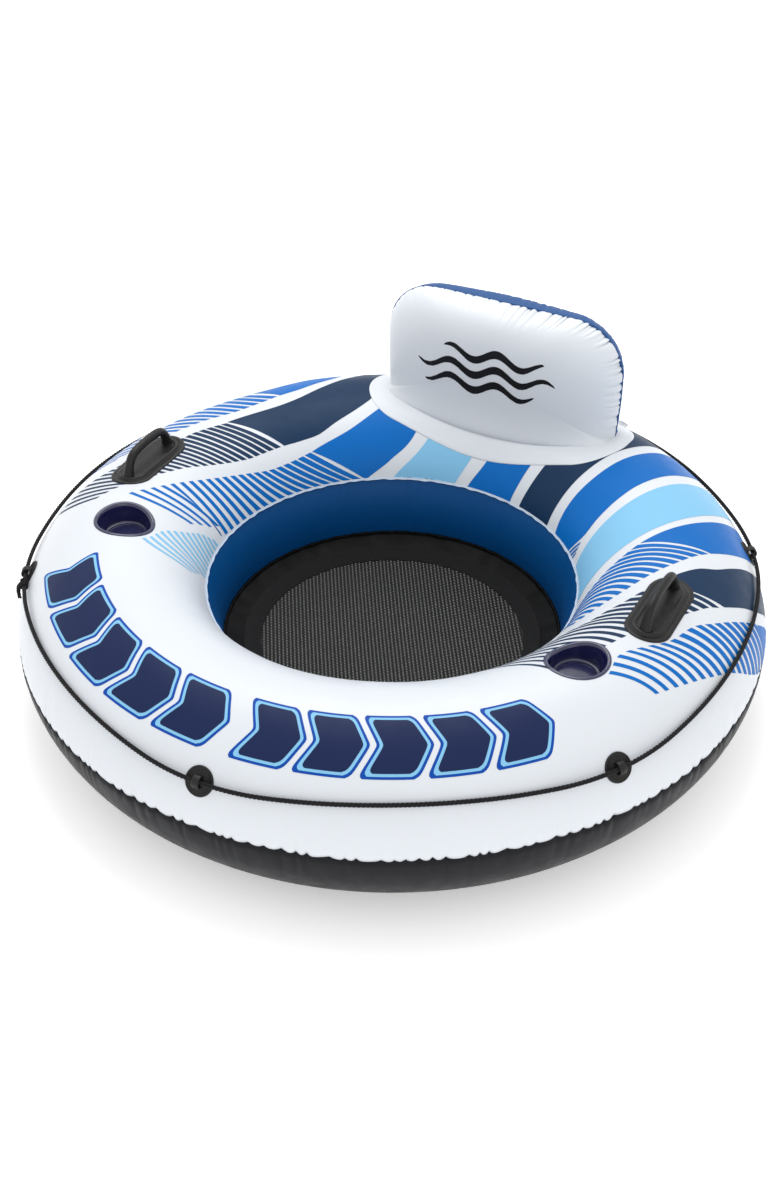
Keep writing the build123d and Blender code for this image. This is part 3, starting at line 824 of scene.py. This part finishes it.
BINDING_TOP = 0.0036
BINDING_SECTION = (
    (0.0, 0.0021), (0.01, 0.0030), (0.06, BINDING_TOP), (0.13, BINDING_TOP - 0.0005), (0.17, BINDING_TOP),
    (0.5, BINDING_TOP + 0.0003), (0.83, BINDING_TOP), (0.87, BINDING_TOP - 0.0005), (0.94, BINDING_TOP),
    (0.99, 0.0030), (1.0, 0.0016), (0.5, 0.0020),
)


def floor_binding():
    def wave(angle, _radius):
        return 0.0003 * ripple(angle, (19, 33, 57), 32)

    reach = BINDING_OUT_R - BINDING_IN_R
    profile = [(BINDING_IN_R + reach * k, floor_height(BINDING_IN_R + reach * k) + lift)
               for k, lift in BINDING_SECTION[::-1]]
    shape = lathe(profile, wave, 720)
    tape = shape.piece("floor_binding_tape", webbing, "ring", "black_webbing", ["floor_binding"])
    stitches = Shape()
    for share in (0.15, 0.85):
        stitch_row(stitches, BINDING_IN_R + share * reach)
    sewn = stitches.piece("binding_stitches", stitch_thread, "ring", "black_webbing")
    return tape, sewn


STITCH_PITCH, STITCH_RADIUS = 0.0052, 0.00042


def stitch_row(shape, radius):
    """Row of lock stitches around the floor: short threads that dip at both ends."""
    count = int(2 * math.pi * radius / STITCH_PITCH)
    run = np.linspace(-0.40, 0.40, 5)
    dip = np.array([-0.0005, 0.0002, 0.0004, 0.0002, -0.0005])
    for i in range(count):
        angle = 2 * math.pi * (i + run) / count
        height = floor_height(radius) + BINDING_TOP - 0.0002 + dip
        tube(shape, around_axis(radius, angle, height), STITCH_RADIUS, 5)


def net_height(radius):
    """The net sags like a shallow bowl and lies on the floor's cone under its binding."""
    bowl = floor_height(BINDING_IN_R) - NET_SAG * (1 - (radius / BINDING_IN_R) ** 2)
    return np.where(radius < BINDING_IN_R, bowl, floor_height(radius)) + 0.0012


HOLE_SHARE, KNOT_RISE = 0.29, 0.0008
NET_CORNERS = (-1, 0), (0, -1), (1, 0), (0, 1)


def floor_net():
    """Knitted net: diamond holes between raised crossings of the yarn."""
    half_u, half_v = NET_COLUMN / 2, NET_ROW / 2
    span = int(NET_R / min(half_u, half_v)) + 2
    turn = math.radians(NET_TURN)
    points, faces, known = [], [], {}

    def point(u, v, rise):
        key = (round(u, 3), round(v, 3))
        if key not in known:
            x, y = u * half_u, v * half_v
            x, y = x * math.cos(turn) - y * math.sin(turn), x * math.sin(turn) + y * math.cos(turn)
            radius = math.hypot(x, y)
            shrink = min(1.0, NET_R / max(radius, 1e-9))
            known[key] = len(points)
            points.append((x * shrink, y * shrink, float(net_height(radius * shrink)) + rise))
        return known[key]

    for i in range(-span, span + 1):
        for j in range(-span, span + 1):
            if (i + j) % 2 == 0 or math.hypot(i * half_u, j * half_v) > NET_R - NET_ROW:
                continue
            knots = [point(i + a, j + b, KNOT_RISE) for a, b in NET_CORNERS]
            hole = [point(i + a * HOLE_SHARE, j + b * HOLE_SHARE, 0.0) for a, b in NET_CORNERS]
            for k in range(4):
                faces.append([knots[k], knots[(k + 1) % 4], hole[(k + 1) % 4], hole[k]])
    shape = Shape()
    shape.points, shape.faces = [np.array(points)], faces
    return shape.piece("floor_net", net_yarn, "ring", "black_mesh", ["floor_mesh"])


# ---------------------------------------------------------------- cups, handles, lugs

CUP_LIP_PROFILE = (
    (CUP_LIP, 0.0002), (CUP_LIP - 0.0004, 0.0011), (CUP_LIP - 0.0018, 0.0017), (CUP_LIP - 0.0040, 0.0019),
    (CUP_MOUTH + 0.0006, 0.0014), (CUP_MOUTH - 0.0002, 0.0002),
)
CUP_FLOOR_PROFILE = (
    (CUP_FLOOR - 0.0007, 0.0010), (CUP_FLOOR - 0.0026, 0.0002), (CUP_FLOOR - 0.0080, 0.0),
    (CUP_FLOOR - 0.0092, 0.0010), (CUP_FLOOR - 0.0110, 0.0012), (0.018, 0.0014), (0.009, 0.0016),
    (0.0005, 0.0016),
)


def cup(side, name):
    """Moulded cup: a lip on the sheet, a tapered wall and a stepped floor."""
    x, y = cup_centre(side)
    turn = full_circle(128)
    slope = (CUP_MOUTH - CUP_FLOOR) / (CREST_Z + CUP_TOP_RISE - CUP_FLOOR_Z)

    def circle(radius, height):
        height = np.broadcast_to(height, turn.shape)
        return np.stack([x + radius * np.cos(turn), y + radius * np.sin(turn), height], axis=-1)

    rows = [on_plan(x + radius * np.cos(turn), y + radius * np.sin(turn), lift)
            for radius, lift in CUP_LIP_PROFILE]
    mouth = rows[-1][:, 2]
    for k in np.linspace(0.06, 1, 14):
        height = mouth * (1 - k) + (CUP_FLOOR_Z + 0.003) * k - 0.0008 * math.exp(-k / 0.1)
        rows.append(circle(CUP_FLOOR + slope * (height - CUP_FLOOR_Z), height))
    rows.extend(circle(radius, CUP_FLOOR_Z + lift) for radius, lift in CUP_FLOOR_PROFILE)
    shape = Shape()
    index = shape.grid(np.array(rows)[:, ::-1], wrap_columns=True)
    shape.cap(index[-1, :-1][::-1])
    shape.piece(name + "_cup_moulding", cup_vinyl, "ring", "navy_clear_vinyl", [name + "_cup_holder"])


def rounded_rectangle(half_u, half_v, corner, count):
    """Evenly spaced points of a rounded rectangle, from the middle of its +u end, turning left."""
    corner = max(corner, 0.0004)
    loop = [(half_u, 0.0)]
    for start, u, v in ((0, 1, 1), (90, -1, 1), (180, -1, -1), (270, 1, -1)):
        turn = np.radians(np.linspace(start, start + 90, 24))
        loop.extend(zip(u * (half_u - corner) + corner * np.cos(turn),
                        v * (half_v - corner) + corner * np.sin(turn)))
    loop.append((half_u, 0.0))
    return evenly_spaced(np.array(loop), count, True).T


def moulded_patch(shape, centre, half_u, half_v, corner, profile, along_y, count=240):
    """Patch on the ring's top, built as loops at insets from its edge, with a lift for each."""
    rows = []
    for inset, lift in profile:
        u, v = rounded_rectangle(half_u - inset, half_v - inset, corner - inset, count)
        x, y = (-v, u) if along_y else (u, v)
        rows.append(on_plan(centre[0] + x, centre[1] + y, lift))
    index = shape.grid(np.array(rows)[:, ::-1], wrap_columns=True)
    last = index[-1, :-1][::-1]
    for i in range(count // 2):
        quad = [last[i], last[i + 1], last[(count - i - 1) % count], last[(count - i) % count]]
        shape.cap(list(dict.fromkeys(quad)))


HANDLE_PROFILE = (
    (0.0, 0.0002), (0.0001, 0.0012), (0.0009, 0.0021), (0.0022, 0.0025), (0.0080, 0.0026), (0.0092, 0.0014),
    (0.0112, 0.0013), (0.0122, 0.0036), (0.0132, 0.0047), (0.0150, 0.0051), (0.0185, 0.0050),
    (0.0197, 0.0036), (0.0210, 0.0032), (0.0300, 0.0036), (0.0393, 0.0038),
)
GRIP_RADIUS, GRIP_FLARE, GRIP_FLARE_HEIGHT = 0.0082, 0.0036, 0.030
RIDGE_RISE, RIDGE_RADIUS = 0.0075, 0.0012
GRIP_HALF = ((0.0660, -0.002), (0.0640, 0.008), (0.0585, 0.023), (0.0480, 0.0355), (0.0300, 0.0412))
GRIP_ROUTE = (*((-along, above) for along, above in GRIP_HALF), (0.0, 0.0425), *GRIP_HALF[::-1])


def handle(side, name):
    """Moulded handle: stepped flange, raised plinth with a sunk panel, and the grip."""
    shape = Shape()
    x = side * HANDLE_X
    moulded_patch(shape, (x, HANDLE_Y), HANDLE_LENGTH / 2, HANDLE_WIDTH / 2, HANDLE_WIDTH / 2,
                  HANDLE_PROFILE, True)
    along, above = smooth_curve(GRIP_ROUTE, 72).T
    spine = np.stack([np.full(72, x), HANDLE_Y + along, CREST_Z + above - 0.001], axis=1)
    foot = np.clip((GRIP_FLARE_HEIGHT - above) / GRIP_FLARE_HEIGHT, 0, 1)
    tube(shape, spine, GRIP_RADIUS + GRIP_FLARE * foot ** 2, 24)
    ridge = spine[8:-8] + [0, 0, RIDGE_RISE]
    tube(shape, ridge, RIDGE_RADIUS * np.sin(np.linspace(0.15, math.pi - 0.15, len(ridge))), 8)
    shape.piece(name + "_handle_moulding", black_plastic, "ring", "black_moulding", [name + "_handle"])


LUG_PROFILE = ((0.0250, 0.0003), (0.0249, 0.0014), (0.0243, 0.0023), (0.0232, 0.0027), (0.0222, 0.0025),
               (0.0212, 0.0019), (0.0170, 0.0018), (0.0135, 0.0019), (0.0120, 0.0026), (0.0060, 0.0027),
               (0.0004, 0.0027))
LUG_RIBS, RIB_RISE, RIBS_FROM, RIBS_TO = 44, 0.0006, 0.0130, 0.0240
BRIDGE_HALF, BRIDGE_RISE, BRIDGE_FOOT = 0.0092, 0.0122, 0.0022
BRIDGE_SECTION = ((-0.0062, -0.0009), (-0.0055, -0.0015), (0.0055, -0.0015), (0.0062, -0.0009),
                  (0.0062, 0.0009), (0.0052, 0.0016), (-0.0052, 0.0016), (-0.0062, 0.0009))


def lug(number):
    """Moulded lug: ribbed disc on the sheet and a bridge over the rope."""
    middle = math.radians((number - 1) * 360.0 / LUGS)
    height = UPPER_Z + UPPER_R * math.sin(math.radians(LUG_ANGLE))
    outside = top_outline.share > 0.6
    share = np.interp(-height, -top_outline.table[outside, 1], top_outline.share[outside])
    radius, _, _, _ = top_outline.at(share)

    def place(x, y, lift):
        return on_top(middle + x / radius, share - y / top_outline.length, lift)

    turn = full_circle(LUG_RIBS * 4)
    rows = []
    for reach, lift in LUG_PROFILE:
        if RIBS_FROM < reach < RIBS_TO:
            lift = lift + RIB_RISE * np.maximum(np.cos(LUG_RIBS * turn), 0)
        rows.append(place(reach * np.cos(turn), reach * np.sin(turn), lift))
    shape = Shape()
    index = shape.grid(np.array(rows)[:, ::-1], wrap_columns=True)
    shape.cap(index[-1, :-1][::-1])
    sweep = np.linspace(0, math.pi, 21)
    rows = []
    for x, thick in BRIDGE_SECTION:
        y = -(BRIDGE_HALF + thick) * np.cos(sweep)
        lift = BRIDGE_FOOT + (BRIDGE_RISE + thick) * np.sin(sweep) ** 0.7
        rows.append(place(np.full(21, x), y, lift))
    shape.grid(rows, wrap_rows=True)
    shape.piece(f"lug_{number}_moulding", black_plastic, "ring", "black_moulding", [f"rope_lug_{number}"])


# ---------------------------------------------------------------- the grab rope

ROPE_PITCH, STRAND_SPACING = 0.021, 0.003


def rope_route():
    """The rope's route as evenly spaced points, from a closed smooth spline."""
    curve = bpy.data.curves.new("rope_route", "CURVE")
    curve.dimensions = "3D"
    spline = curve.splines.new("NURBS")
    places = []
    for lug_number in range(LUGS):
        middle = lug_number * 360.0 / LUGS
        for step in (-2.5, -1.5, -0.5, 0.5, 1.5, 2.5):
            radius, height = ROPE_POINTS[int(abs(step))]
            turn = math.radians(middle + step * ROPE_STEP)
            places.append((radius * math.sin(turn), -radius * math.cos(turn), height, 1.0))
    spline.points.add(len(places) - 1)
    for point, place in zip(spline.points, places):
        point.co = place
    spline.order_u = 3
    spline.use_cyclic_u = True
    spline.resolution_u = 24
    holder = bpy.data.objects.new("rope_route", curve)
    mesh = bpy.data.meshes.new_from_object(holder)
    points = np.array([v.co for v in mesh.vertices])
    bpy.data.objects.remove(holder)
    bpy.data.meshes.remove(mesh)
    bpy.data.curves.remove(curve)
    loop = np.vstack([points, points[:1]])
    length = lengths_along(loop)[-1]
    return evenly_spaced(loop, int(length / STRAND_SPACING), True), length


def twisted(shape, route, length, radius, closed=False):
    """Three strands laid round each other along a route."""
    turns = round(length / ROPE_PITCH) if closed else length / ROPE_PITCH
    across, up = sideways(route, closed, 0.05)
    phase = np.linspace(0, 2 * math.pi * turns, len(route), endpoint=not closed)
    for k in range(3):
        angle = (phase + 2 * math.pi * k / 3)[:, None]
        strand = route + 0.50 * radius * (np.cos(angle) * across + np.sin(angle) * up)
        tube(shape, strand, 0.53 * radius, 7, closed=closed)


def grab_rope():
    route, length = rope_route()
    shape = Shape()
    twisted(shape, route, length, ROPE_RADIUS, closed=True)
    shape.piece("rope_strands", rope_yarn, "ring", "black_rope", ["grab_rope"])


KNOT_LENGTH, KNOT_TURNS, KNOT_RADIUS, KNOT_ROPE = 0.0165, 2.75, 0.0052, 0.10
KNOT_STRAND, TAIL_STRAND = 0.0034, 0.0036
KNOT_TAILS = (-0.006, 0.0300, -0.004), (0.004, 0.0225, 0.007)


def rope_knot():
    """The rope's ends wound round each other beside a lug, with two short tails."""
    turn = math.radians(KNOT_ANGLE)
    out = np.array([math.sin(turn), -math.cos(turn), 0.0])
    along = np.array([math.cos(turn), math.sin(turn), 0.0])
    up = np.array([0.0, 0.0, 1.0])
    slope = math.radians(LUG_ANGLE)
    off = out * math.cos(slope) + up * math.sin(slope)
    down = out * math.sin(slope) - up * math.cos(slope)
    middle = out * ROPE_LUG_R + up * ROPE_LUG_Z + off * 0.0008
    shape = Shape()
    wind = np.linspace(0, 2 * math.pi * KNOT_TURNS, 90)
    reach = KNOT_RADIUS + 0.0006 * np.sin(wind * 0.7)
    winding = (middle + along * ((wind / wind[-1] - 0.5) * KNOT_LENGTH)[:, None]
               + (off * np.cos(wind)[:, None] - down * np.sin(wind)[:, None]) * reach[:, None])
    twisted(shape, winding, KNOT_ROPE, KNOT_STRAND)
    for start, drop, lean in KNOT_TAILS:
        tail = smooth_curve([
            middle + along * start - down * 0.001,
            middle + along * start + off * 0.0045 + down * 0.006,
            middle + along * (start + 0.5 * lean) + off * 0.0030 + down * drop * 0.6,
            middle + along * (start + lean) - off * 0.0040 + down * drop], 26)
        twisted(shape, tail, drop, TAIL_STRAND)
    shape.piece("rope_knot_strands", rope_yarn, "ring", "black_rope", ["rope_knot"])


# ---------------------------------------------------------------- the backrest

FOOT_FRONT_Y, FOOT_REAR_Y, FOOT_SQUARE, FOOT_SUNK = 0.403, 0.520, 3.6, 0.0012
PUCKER_LENGTH = 0.010
SOFT_SPOKES, SOFT_RUN = 110, 0.16
LEAN_COS, LEAN_SIN = math.cos(math.radians(BACK_LEAN)), math.sin(math.radians(BACK_LEAN))
EDGE_STEPS = 900


def from_back(x, y, z):
    """Points given in the backrest's own plane, moved to where it stands."""
    return np.stack([x, BACK_Y + y * LEAN_COS + z * LEAN_SIN, BACK_Z - y * LEAN_SIN + z * LEAN_COS], axis=-1)


def to_back(point):
    """Points of the frame given in the backrest's own plane."""
    y, z = point[..., 1] - BACK_Y, point[..., 2] - BACK_Z
    return point[..., 0], y * LEAN_COS - z * LEAN_SIN, y * LEAN_SIN + z * LEAN_COS


def back_seam_line():
    """The seam from the right foot, up, across the top and down to the left foot."""
    right = [(BACK_HALF - 0.004, BACK_SEAM_FOOT), (BACK_HALF - 0.001, -0.02), (BACK_HALF, 0.02)]
    turn = np.radians(np.linspace(0, 90, 30))
    corner = np.stack([BACK_HALF - BACK_CORNER + BACK_CORNER * np.cos(turn),
                       BACK_TOP - BACK_CORNER + BACK_CORNER * np.sin(turn)], axis=1)
    half = np.vstack([right, corner])
    return np.vstack([half, half[::-1] * [-1, 1]])


def back_foot_line(foot_y):
    """Where a sheet meets the ring, from the left foot of the seam to the right one."""
    turn = np.radians(np.linspace(180, 0, 241))
    start = from_back(np.array(BACK_HALF - 0.004), np.array(0.0), np.array(BACK_SEAM_FOOT))
    x = (BACK_HALF - 0.004) * np.sign(np.cos(turn)) * np.abs(np.cos(turn)) ** (2 / FOOT_SQUARE)
    y = start[1] + (foot_y - start[1]) * np.abs(np.sin(turn)) ** (2 / FOOT_SQUARE)
    return np.stack(to_back(on_plan(x, y, -FOOT_SUNK)), axis=1)


class BackSheet:
    """One sheet of the backrest: spokes from its middle to its seam and its foot on the ring."""

    def __init__(self, side, foot_y, bulge, square, notch, overhang, unevenness):
        self.side, self.bulge, self.square, self.notch = side, bulge, square, notch
        self.overhang, self.unevenness = overhang, unevenness
        seam = back_seam_line()
        seam = np.stack([seam[:, 0], np.zeros(len(seam)), seam[:, 1]], axis=1)
        edge = np.vstack([seam, back_foot_line(foot_y)[1:-1]])
        edge = np.vstack([edge, edge[:1]])
        length = lengths_along(edge)
        self.edge = evenly_spaced(edge, EDGE_STEPS, True)
        self.places = np.linspace(0, length[-1], EDGE_STEPS, endpoint=False)
        self.seam_end = length[len(seam) - 1]
        self.on_seam = self.places < self.seam_end
        spoke = self.edge[:, [0, 2]] - [0, BACK_MIDDLE_Z]
        self.reach = np.linalg.norm(spoke, axis=1)
        self.turn = np.unwrap(np.arctan2(spoke[:, 1], spoke[:, 0]))
        soft = (np.clip((self.places - self.seam_end) / SOFT_RUN, 0, 1)
                * np.clip((length[-1] - self.places) / SOFT_RUN, 0, 1))
        self.footness = soft * soft * (3 - 2 * soft)
        self.depth = side * self.edge[:, 1]
        self.soft_depth, self.soft_reach = self.smoothed(self.depth), self.smoothed(self.reach)

    def smoothed(self, values):
        """A value of each spoke, evened out over its neighbours."""
        window = np.hanning(2 * SOFT_SPOKES + 1)
        around = np.concatenate([values[-SOFT_SPOKES:], values, values[:SOFT_SPOKES]])
        return np.convolve(around, window / window.sum(), "valid")

    def folds(self):
        """Depth of the puckers, 0 to 1, and how strong they are along the seam."""
        turn = 2 * math.pi * self.places / self.places[-1]
        fold = 1 - pinches(turn, BACK_PUCKERS, 41)
        from_right = self.places / self.seam_end
        strong = np.interp(from_right, (0.0, 0.1, 0.4, 0.5, 0.75, 0.9), (0.5, 1.0, 1.0, 0.5, 0.4, 0.1))
        ends = np.clip((self.seam_end - self.places) / 0.05, 0, 1) * np.clip(self.places / 0.05, 0, 1)
        return fold ** 1.3, strong * ends

    def points(self, rho, spokes=slice(None), lift=0.0):
        """Points at rho from 0 in the middle to 1 at the edge, one row for each rho."""
        rho = np.asarray(rho, float)
        rho = rho[:, None] if rho.ndim == 1 else rho
        fold, strong = self.folds()
        fold, strong = fold[None, spokes], strong[None, spokes]
        edge, reach = self.edge[spokes], self.reach[spokes][None, :]
        footness = self.footness[spokes][None, :]
        inward = (1 - rho) * reach
        pucker = fold * strong * np.exp(-(inward / PUCKER_LENGTH) ** 1.5)
        x = edge[None, :, 0] * rho
        z = BACK_MIDDLE_Z + (edge[None, :, 2] - BACK_MIDDLE_Z) * rho
        over = np.sin(math.pi * np.clip((1 - rho) / 0.25, 0, 1)) * (1 - footness)
        shrink = 1 - self.notch * pucker * rho ** 8 / reach + self.overhang * over / reach
        x, z = x * shrink, BACK_MIDDLE_Z + (z - BACK_MIDDLE_Z) * shrink
        even = rho * (rho ** 6 + (1 - rho ** 6) * reach / self.soft_reach[None, spokes])
        crown = np.clip(1 - even ** self.square, 0, 1) ** 0.55
        slow = self.unevenness * np.sin(9 * x + 1.0) * np.sin(14 * z + 0.4) * np.clip(1 - rho ** 4, 0, 1)
        foot_depth, soft_depth = self.depth[None, spokes], self.soft_depth[None, spokes]
        depth = foot_depth * rho ** 18 + soft_depth * (rho ** 3 - rho ** 18)
        depth = depth + (self.bulge - 0.45 * soft_depth * rho ** 2) * crown + slow
        depth = depth * (1 - 0.55 * pucker * crown ** 0.5) + lift
        return from_back(x, self.side * depth, z)

    def above(self, x, z, lift):
        """Points on the sheet over places (x, z) of the backrest's plane."""
        turn = np.arctan2(z - BACK_MIDDLE_Z, x)
        turn = np.where(turn < self.turn.min(), turn + 2 * math.pi, turn)
        spokes = np.searchsorted(self.turn, turn.ravel()).clip(0, EDGE_STEPS - 1)
        rho = np.hypot(x, z - BACK_MIDDLE_Z).ravel() / self.reach[spokes]
        return self.points(rho[None, :], spokes, lift)[0].reshape(*x.shape, 3)


front_back_sheet = BackSheet(-1, FOOT_FRONT_Y, BACK_FRONT, 3.8, 0.0062, 0.0, 0.0016)
rear_back_sheet = BackSheet(1, FOOT_REAR_Y, BACK_REAR, 6.0, 0.0006, 0.007, 0.0)


def back_piece(shape, name, material, slot, replaces=()):
    """Piece of the backrest, made without a body, with its placement baked into its points."""
    obj = shape.piece(name, material, None, slot, replaces)
    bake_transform(obj)
    return obj


def backrest_sheets():
    rho = 1 - np.linspace(1, 0, 46) ** 1.7
    rho[0] = 0.004
    for sheet, name, material, slot, node in (
        (front_back_sheet, "backrest_front_sheet", white_vinyl, "white_vinyl", "backrest_front_panel"),
        (rear_back_sheet, "backrest_rear_sheet", navy_back_vinyl, "blue_vinyl", "backrest_back_panel"),
    ):
        shape = Shape()
        points = sheet.points(rho)
        if sheet.side > 0:
            points = points[:, ::-1]
        index = shape.grid(points, wrap_columns=True)
        shape.cap(index[0, :-1])
        back_piece(shape, name, material, slot, [node])


BACK_FIN = (-0.005, -0.0006), (0.0008, -0.0006), (0.0014, 0.0), (0.0008, 0.0006), (-0.005, 0.0006)


def backrest_seam():
    """Thin weld fin around the backrest, just proud of both sheets."""
    front = front_back_sheet
    keep = np.flatnonzero(front.on_seam)
    edge = front.edge[keep][:, [0, 2]]
    out = (edge - [0, BACK_MIDDLE_Z]) / front.reach[keep][:, None]
    rows = []
    for grow, level in BACK_FIN:
        place = edge + out * grow
        rows.append(from_back(place[:, 0], np.full(len(place), level), place[:, 1]))
    shape = Shape()
    shape.grid(rows, wrap_rows=True)
    back_piece(shape, "backrest_seam_strip", navy_back_vinyl, "blue_vinyl", ["backrest_weld_seam"])


PATCH_Y, PATCH_LENGTH, PATCH_DEPTH, PATCH_CORNER = 0.462, 0.545, 0.192, 0.085
PATCH_PROFILE = ((0.0, 0.0003), (0.0003, 0.0011), (0.0012, 0.0015), (0.0070, 0.0016), (0.0085, 0.0013),
                 (0.0100, 0.0015), (0.0300, 0.0015), (0.0500, 0.0015), (0.0700, 0.0015), (0.0830, 0.0015))


def backrest_base():
    shape = Shape()
    moulded_patch(shape, (0, PATCH_Y), PATCH_LENGTH / 2, PATCH_DEPTH / 2, PATCH_CORNER, PATCH_PROFILE,
                  False, 480)
    shape.piece("backrest_base_sheet", white_vinyl, "ring", "white_vinyl", ["backrest_base_flange"])


EMBLEM_X, EMBLEM_Z, EMBLEM_LENGTH, EMBLEM_STROKE = -0.010, 0.046, 0.290, 0.0085
EMBLEM_PITCH, EMBLEM_WAVE, EMBLEM_WAVE_LENGTH = 0.033, 0.0105, 0.098
EMBLEM_ROWS = (0.016, 0.72), (0.0, 1.0), (-0.012, 0.80)


def backrest_emblem():
    """Generic mark: three wavy strokes, tapered at both ends."""
    run = np.linspace(0, 1, 90)[:, None]
    shape = Shape()
    half = EMBLEM_STROKE * np.clip(np.sin(math.pi * run), 0, 1) ** 0.45
    across = np.linspace(-1, 1, 7)[None, :]
    for row, (shift, length) in enumerate(EMBLEM_ROWS):
        x = EMBLEM_X + shift + EMBLEM_LENGTH * length * (run - 0.5)
        z = (EMBLEM_Z + EMBLEM_PITCH * (1 - row)
             + EMBLEM_WAVE * np.sin(2 * math.pi * (x - EMBLEM_X) / EMBLEM_WAVE_LENGTH))
        points = front_back_sheet.above(np.broadcast_to(x, (90, 7)), z + half * across, PRINT_LIFT)
        shape.grid(points[:, ::-1])
    back_piece(shape, "backrest_emblem", ink_black, "black_vinyl")


# ---------------------------------------------------------------- valves, light and camera

def valve_finishes():
    """The valves keep their CAD shapes and get their plastics here."""
    valve_white = moulding("valve_moulding", (0.62, 0.64, 0.66), 0.38)
    valve_clear = clear_vinyl("valve_flap_vinyl", (0.30, 0.33, 0.36))
    for name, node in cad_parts.items():
        if "valve" in name:
            finish = valve_clear if "flap" in name else valve_white
            node.data.materials.clear()
            node.data.materials.append(finish)


WORLD_LIGHT, FLOOR_GLOW = 1.0, 0.33
LIGHTS = ("overhead", (-0.6, 0.9, 2.6), 2.2, 34), ("front_fill", (1.6, -2.4, 1.5), 2.0, 6)
LIGHT_AIM = (0, 0, 0.2)
STUDIO_FLOOR = (1.0, 6.0, 30.0)


def area_light(name, place, size, power):
    data = bpy.data.lights.new(name, "AREA")
    data.shape = "DISK"
    data.size = size
    data.energy = power
    light = bpy.data.objects.new(name, data)
    light.location = place
    light.rotation_euler = (Vector(LIGHT_AIM) - Vector(place)).to_track_quat("-Z", "Y").to_euler()
    bpy.context.scene.collection.objects.link(light)


def studio():
    """White studio: bright surroundings, large soft lights and a white floor."""
    world = bpy.data.worlds.new("white_studio")
    bpy.context.scene.world = world
    world.use_nodes = True
    background = world.node_tree.nodes["Background"]
    background.inputs["Color"].default_value = (1, 1, 1, 1)
    background.inputs["Strength"].default_value = WORLD_LIGHT
    for light in LIGHTS:
        area_light(*light)
    look = Finish("studio_floor", Roughness=0.9, Specular_IOR_Level=0.1, Emission_Color=(1, 1, 1, 1),
                  Emission_Strength=FLOOR_GLOW)
    look.colour(look.noise(0.8, 3.0), (0.94, 0.94, 0.94), (0.96, 0.96, 0.96))
    shape = Shape()
    turn = full_circle(96)
    rows = [np.stack([r * np.cos(turn), r * np.sin(turn), np.zeros(96)], axis=-1) for r in STUDIO_FLOOR]
    index = shape.grid(rows, wrap_columns=True)
    shape.cap(index[0, :-1])
    shape.piece("studio_floor", look.material)


LENS = 52.16
CAMERA_TARGET, CAMERA_DISTANCE = (-0.0033, -0.0017, 0.1702), 3.177
CAMERA_AZIMUTH, CAMERA_ELEVATION = 27.25, 36.64


def camera():
    turn, rise = math.radians(CAMERA_AZIMUTH), math.radians(CAMERA_ELEVATION)
    back = Vector((math.sin(turn) * math.cos(rise), -math.cos(turn) * math.cos(rise), math.sin(rise)))
    data = bpy.data.cameras.new("camera")
    data.lens = LENS
    obj = bpy.data.objects.new("camera", data)
    obj.location = Vector(CAMERA_TARGET) + back * CAMERA_DISTANCE
    obj.rotation_euler = (-back).to_track_quat("-Z", "Y").to_euler()
    bpy.context.scene.collection.objects.link(obj)
    bpy.context.scene.camera = obj


def build():
    ring_sheets()
    weld_seams()
    ring_print()
    floor_skirt()
    tape, sewn = floor_binding()
    net = floor_net()
    for side, name in ((-1, "left"), (1, "right")):
        cup(side, name)
        handle(side, name)
    for number in range(1, LUGS + 1):
        lug(number)
    grab_rope()
    rope_knot()
    backrest_sheets()
    backrest_seam()
    backrest_base()
    backrest_emblem()
    valve_finishes()
    studio()
    camera()


build()
bpy.context.scene.view_settings.view_transform = "Standard"
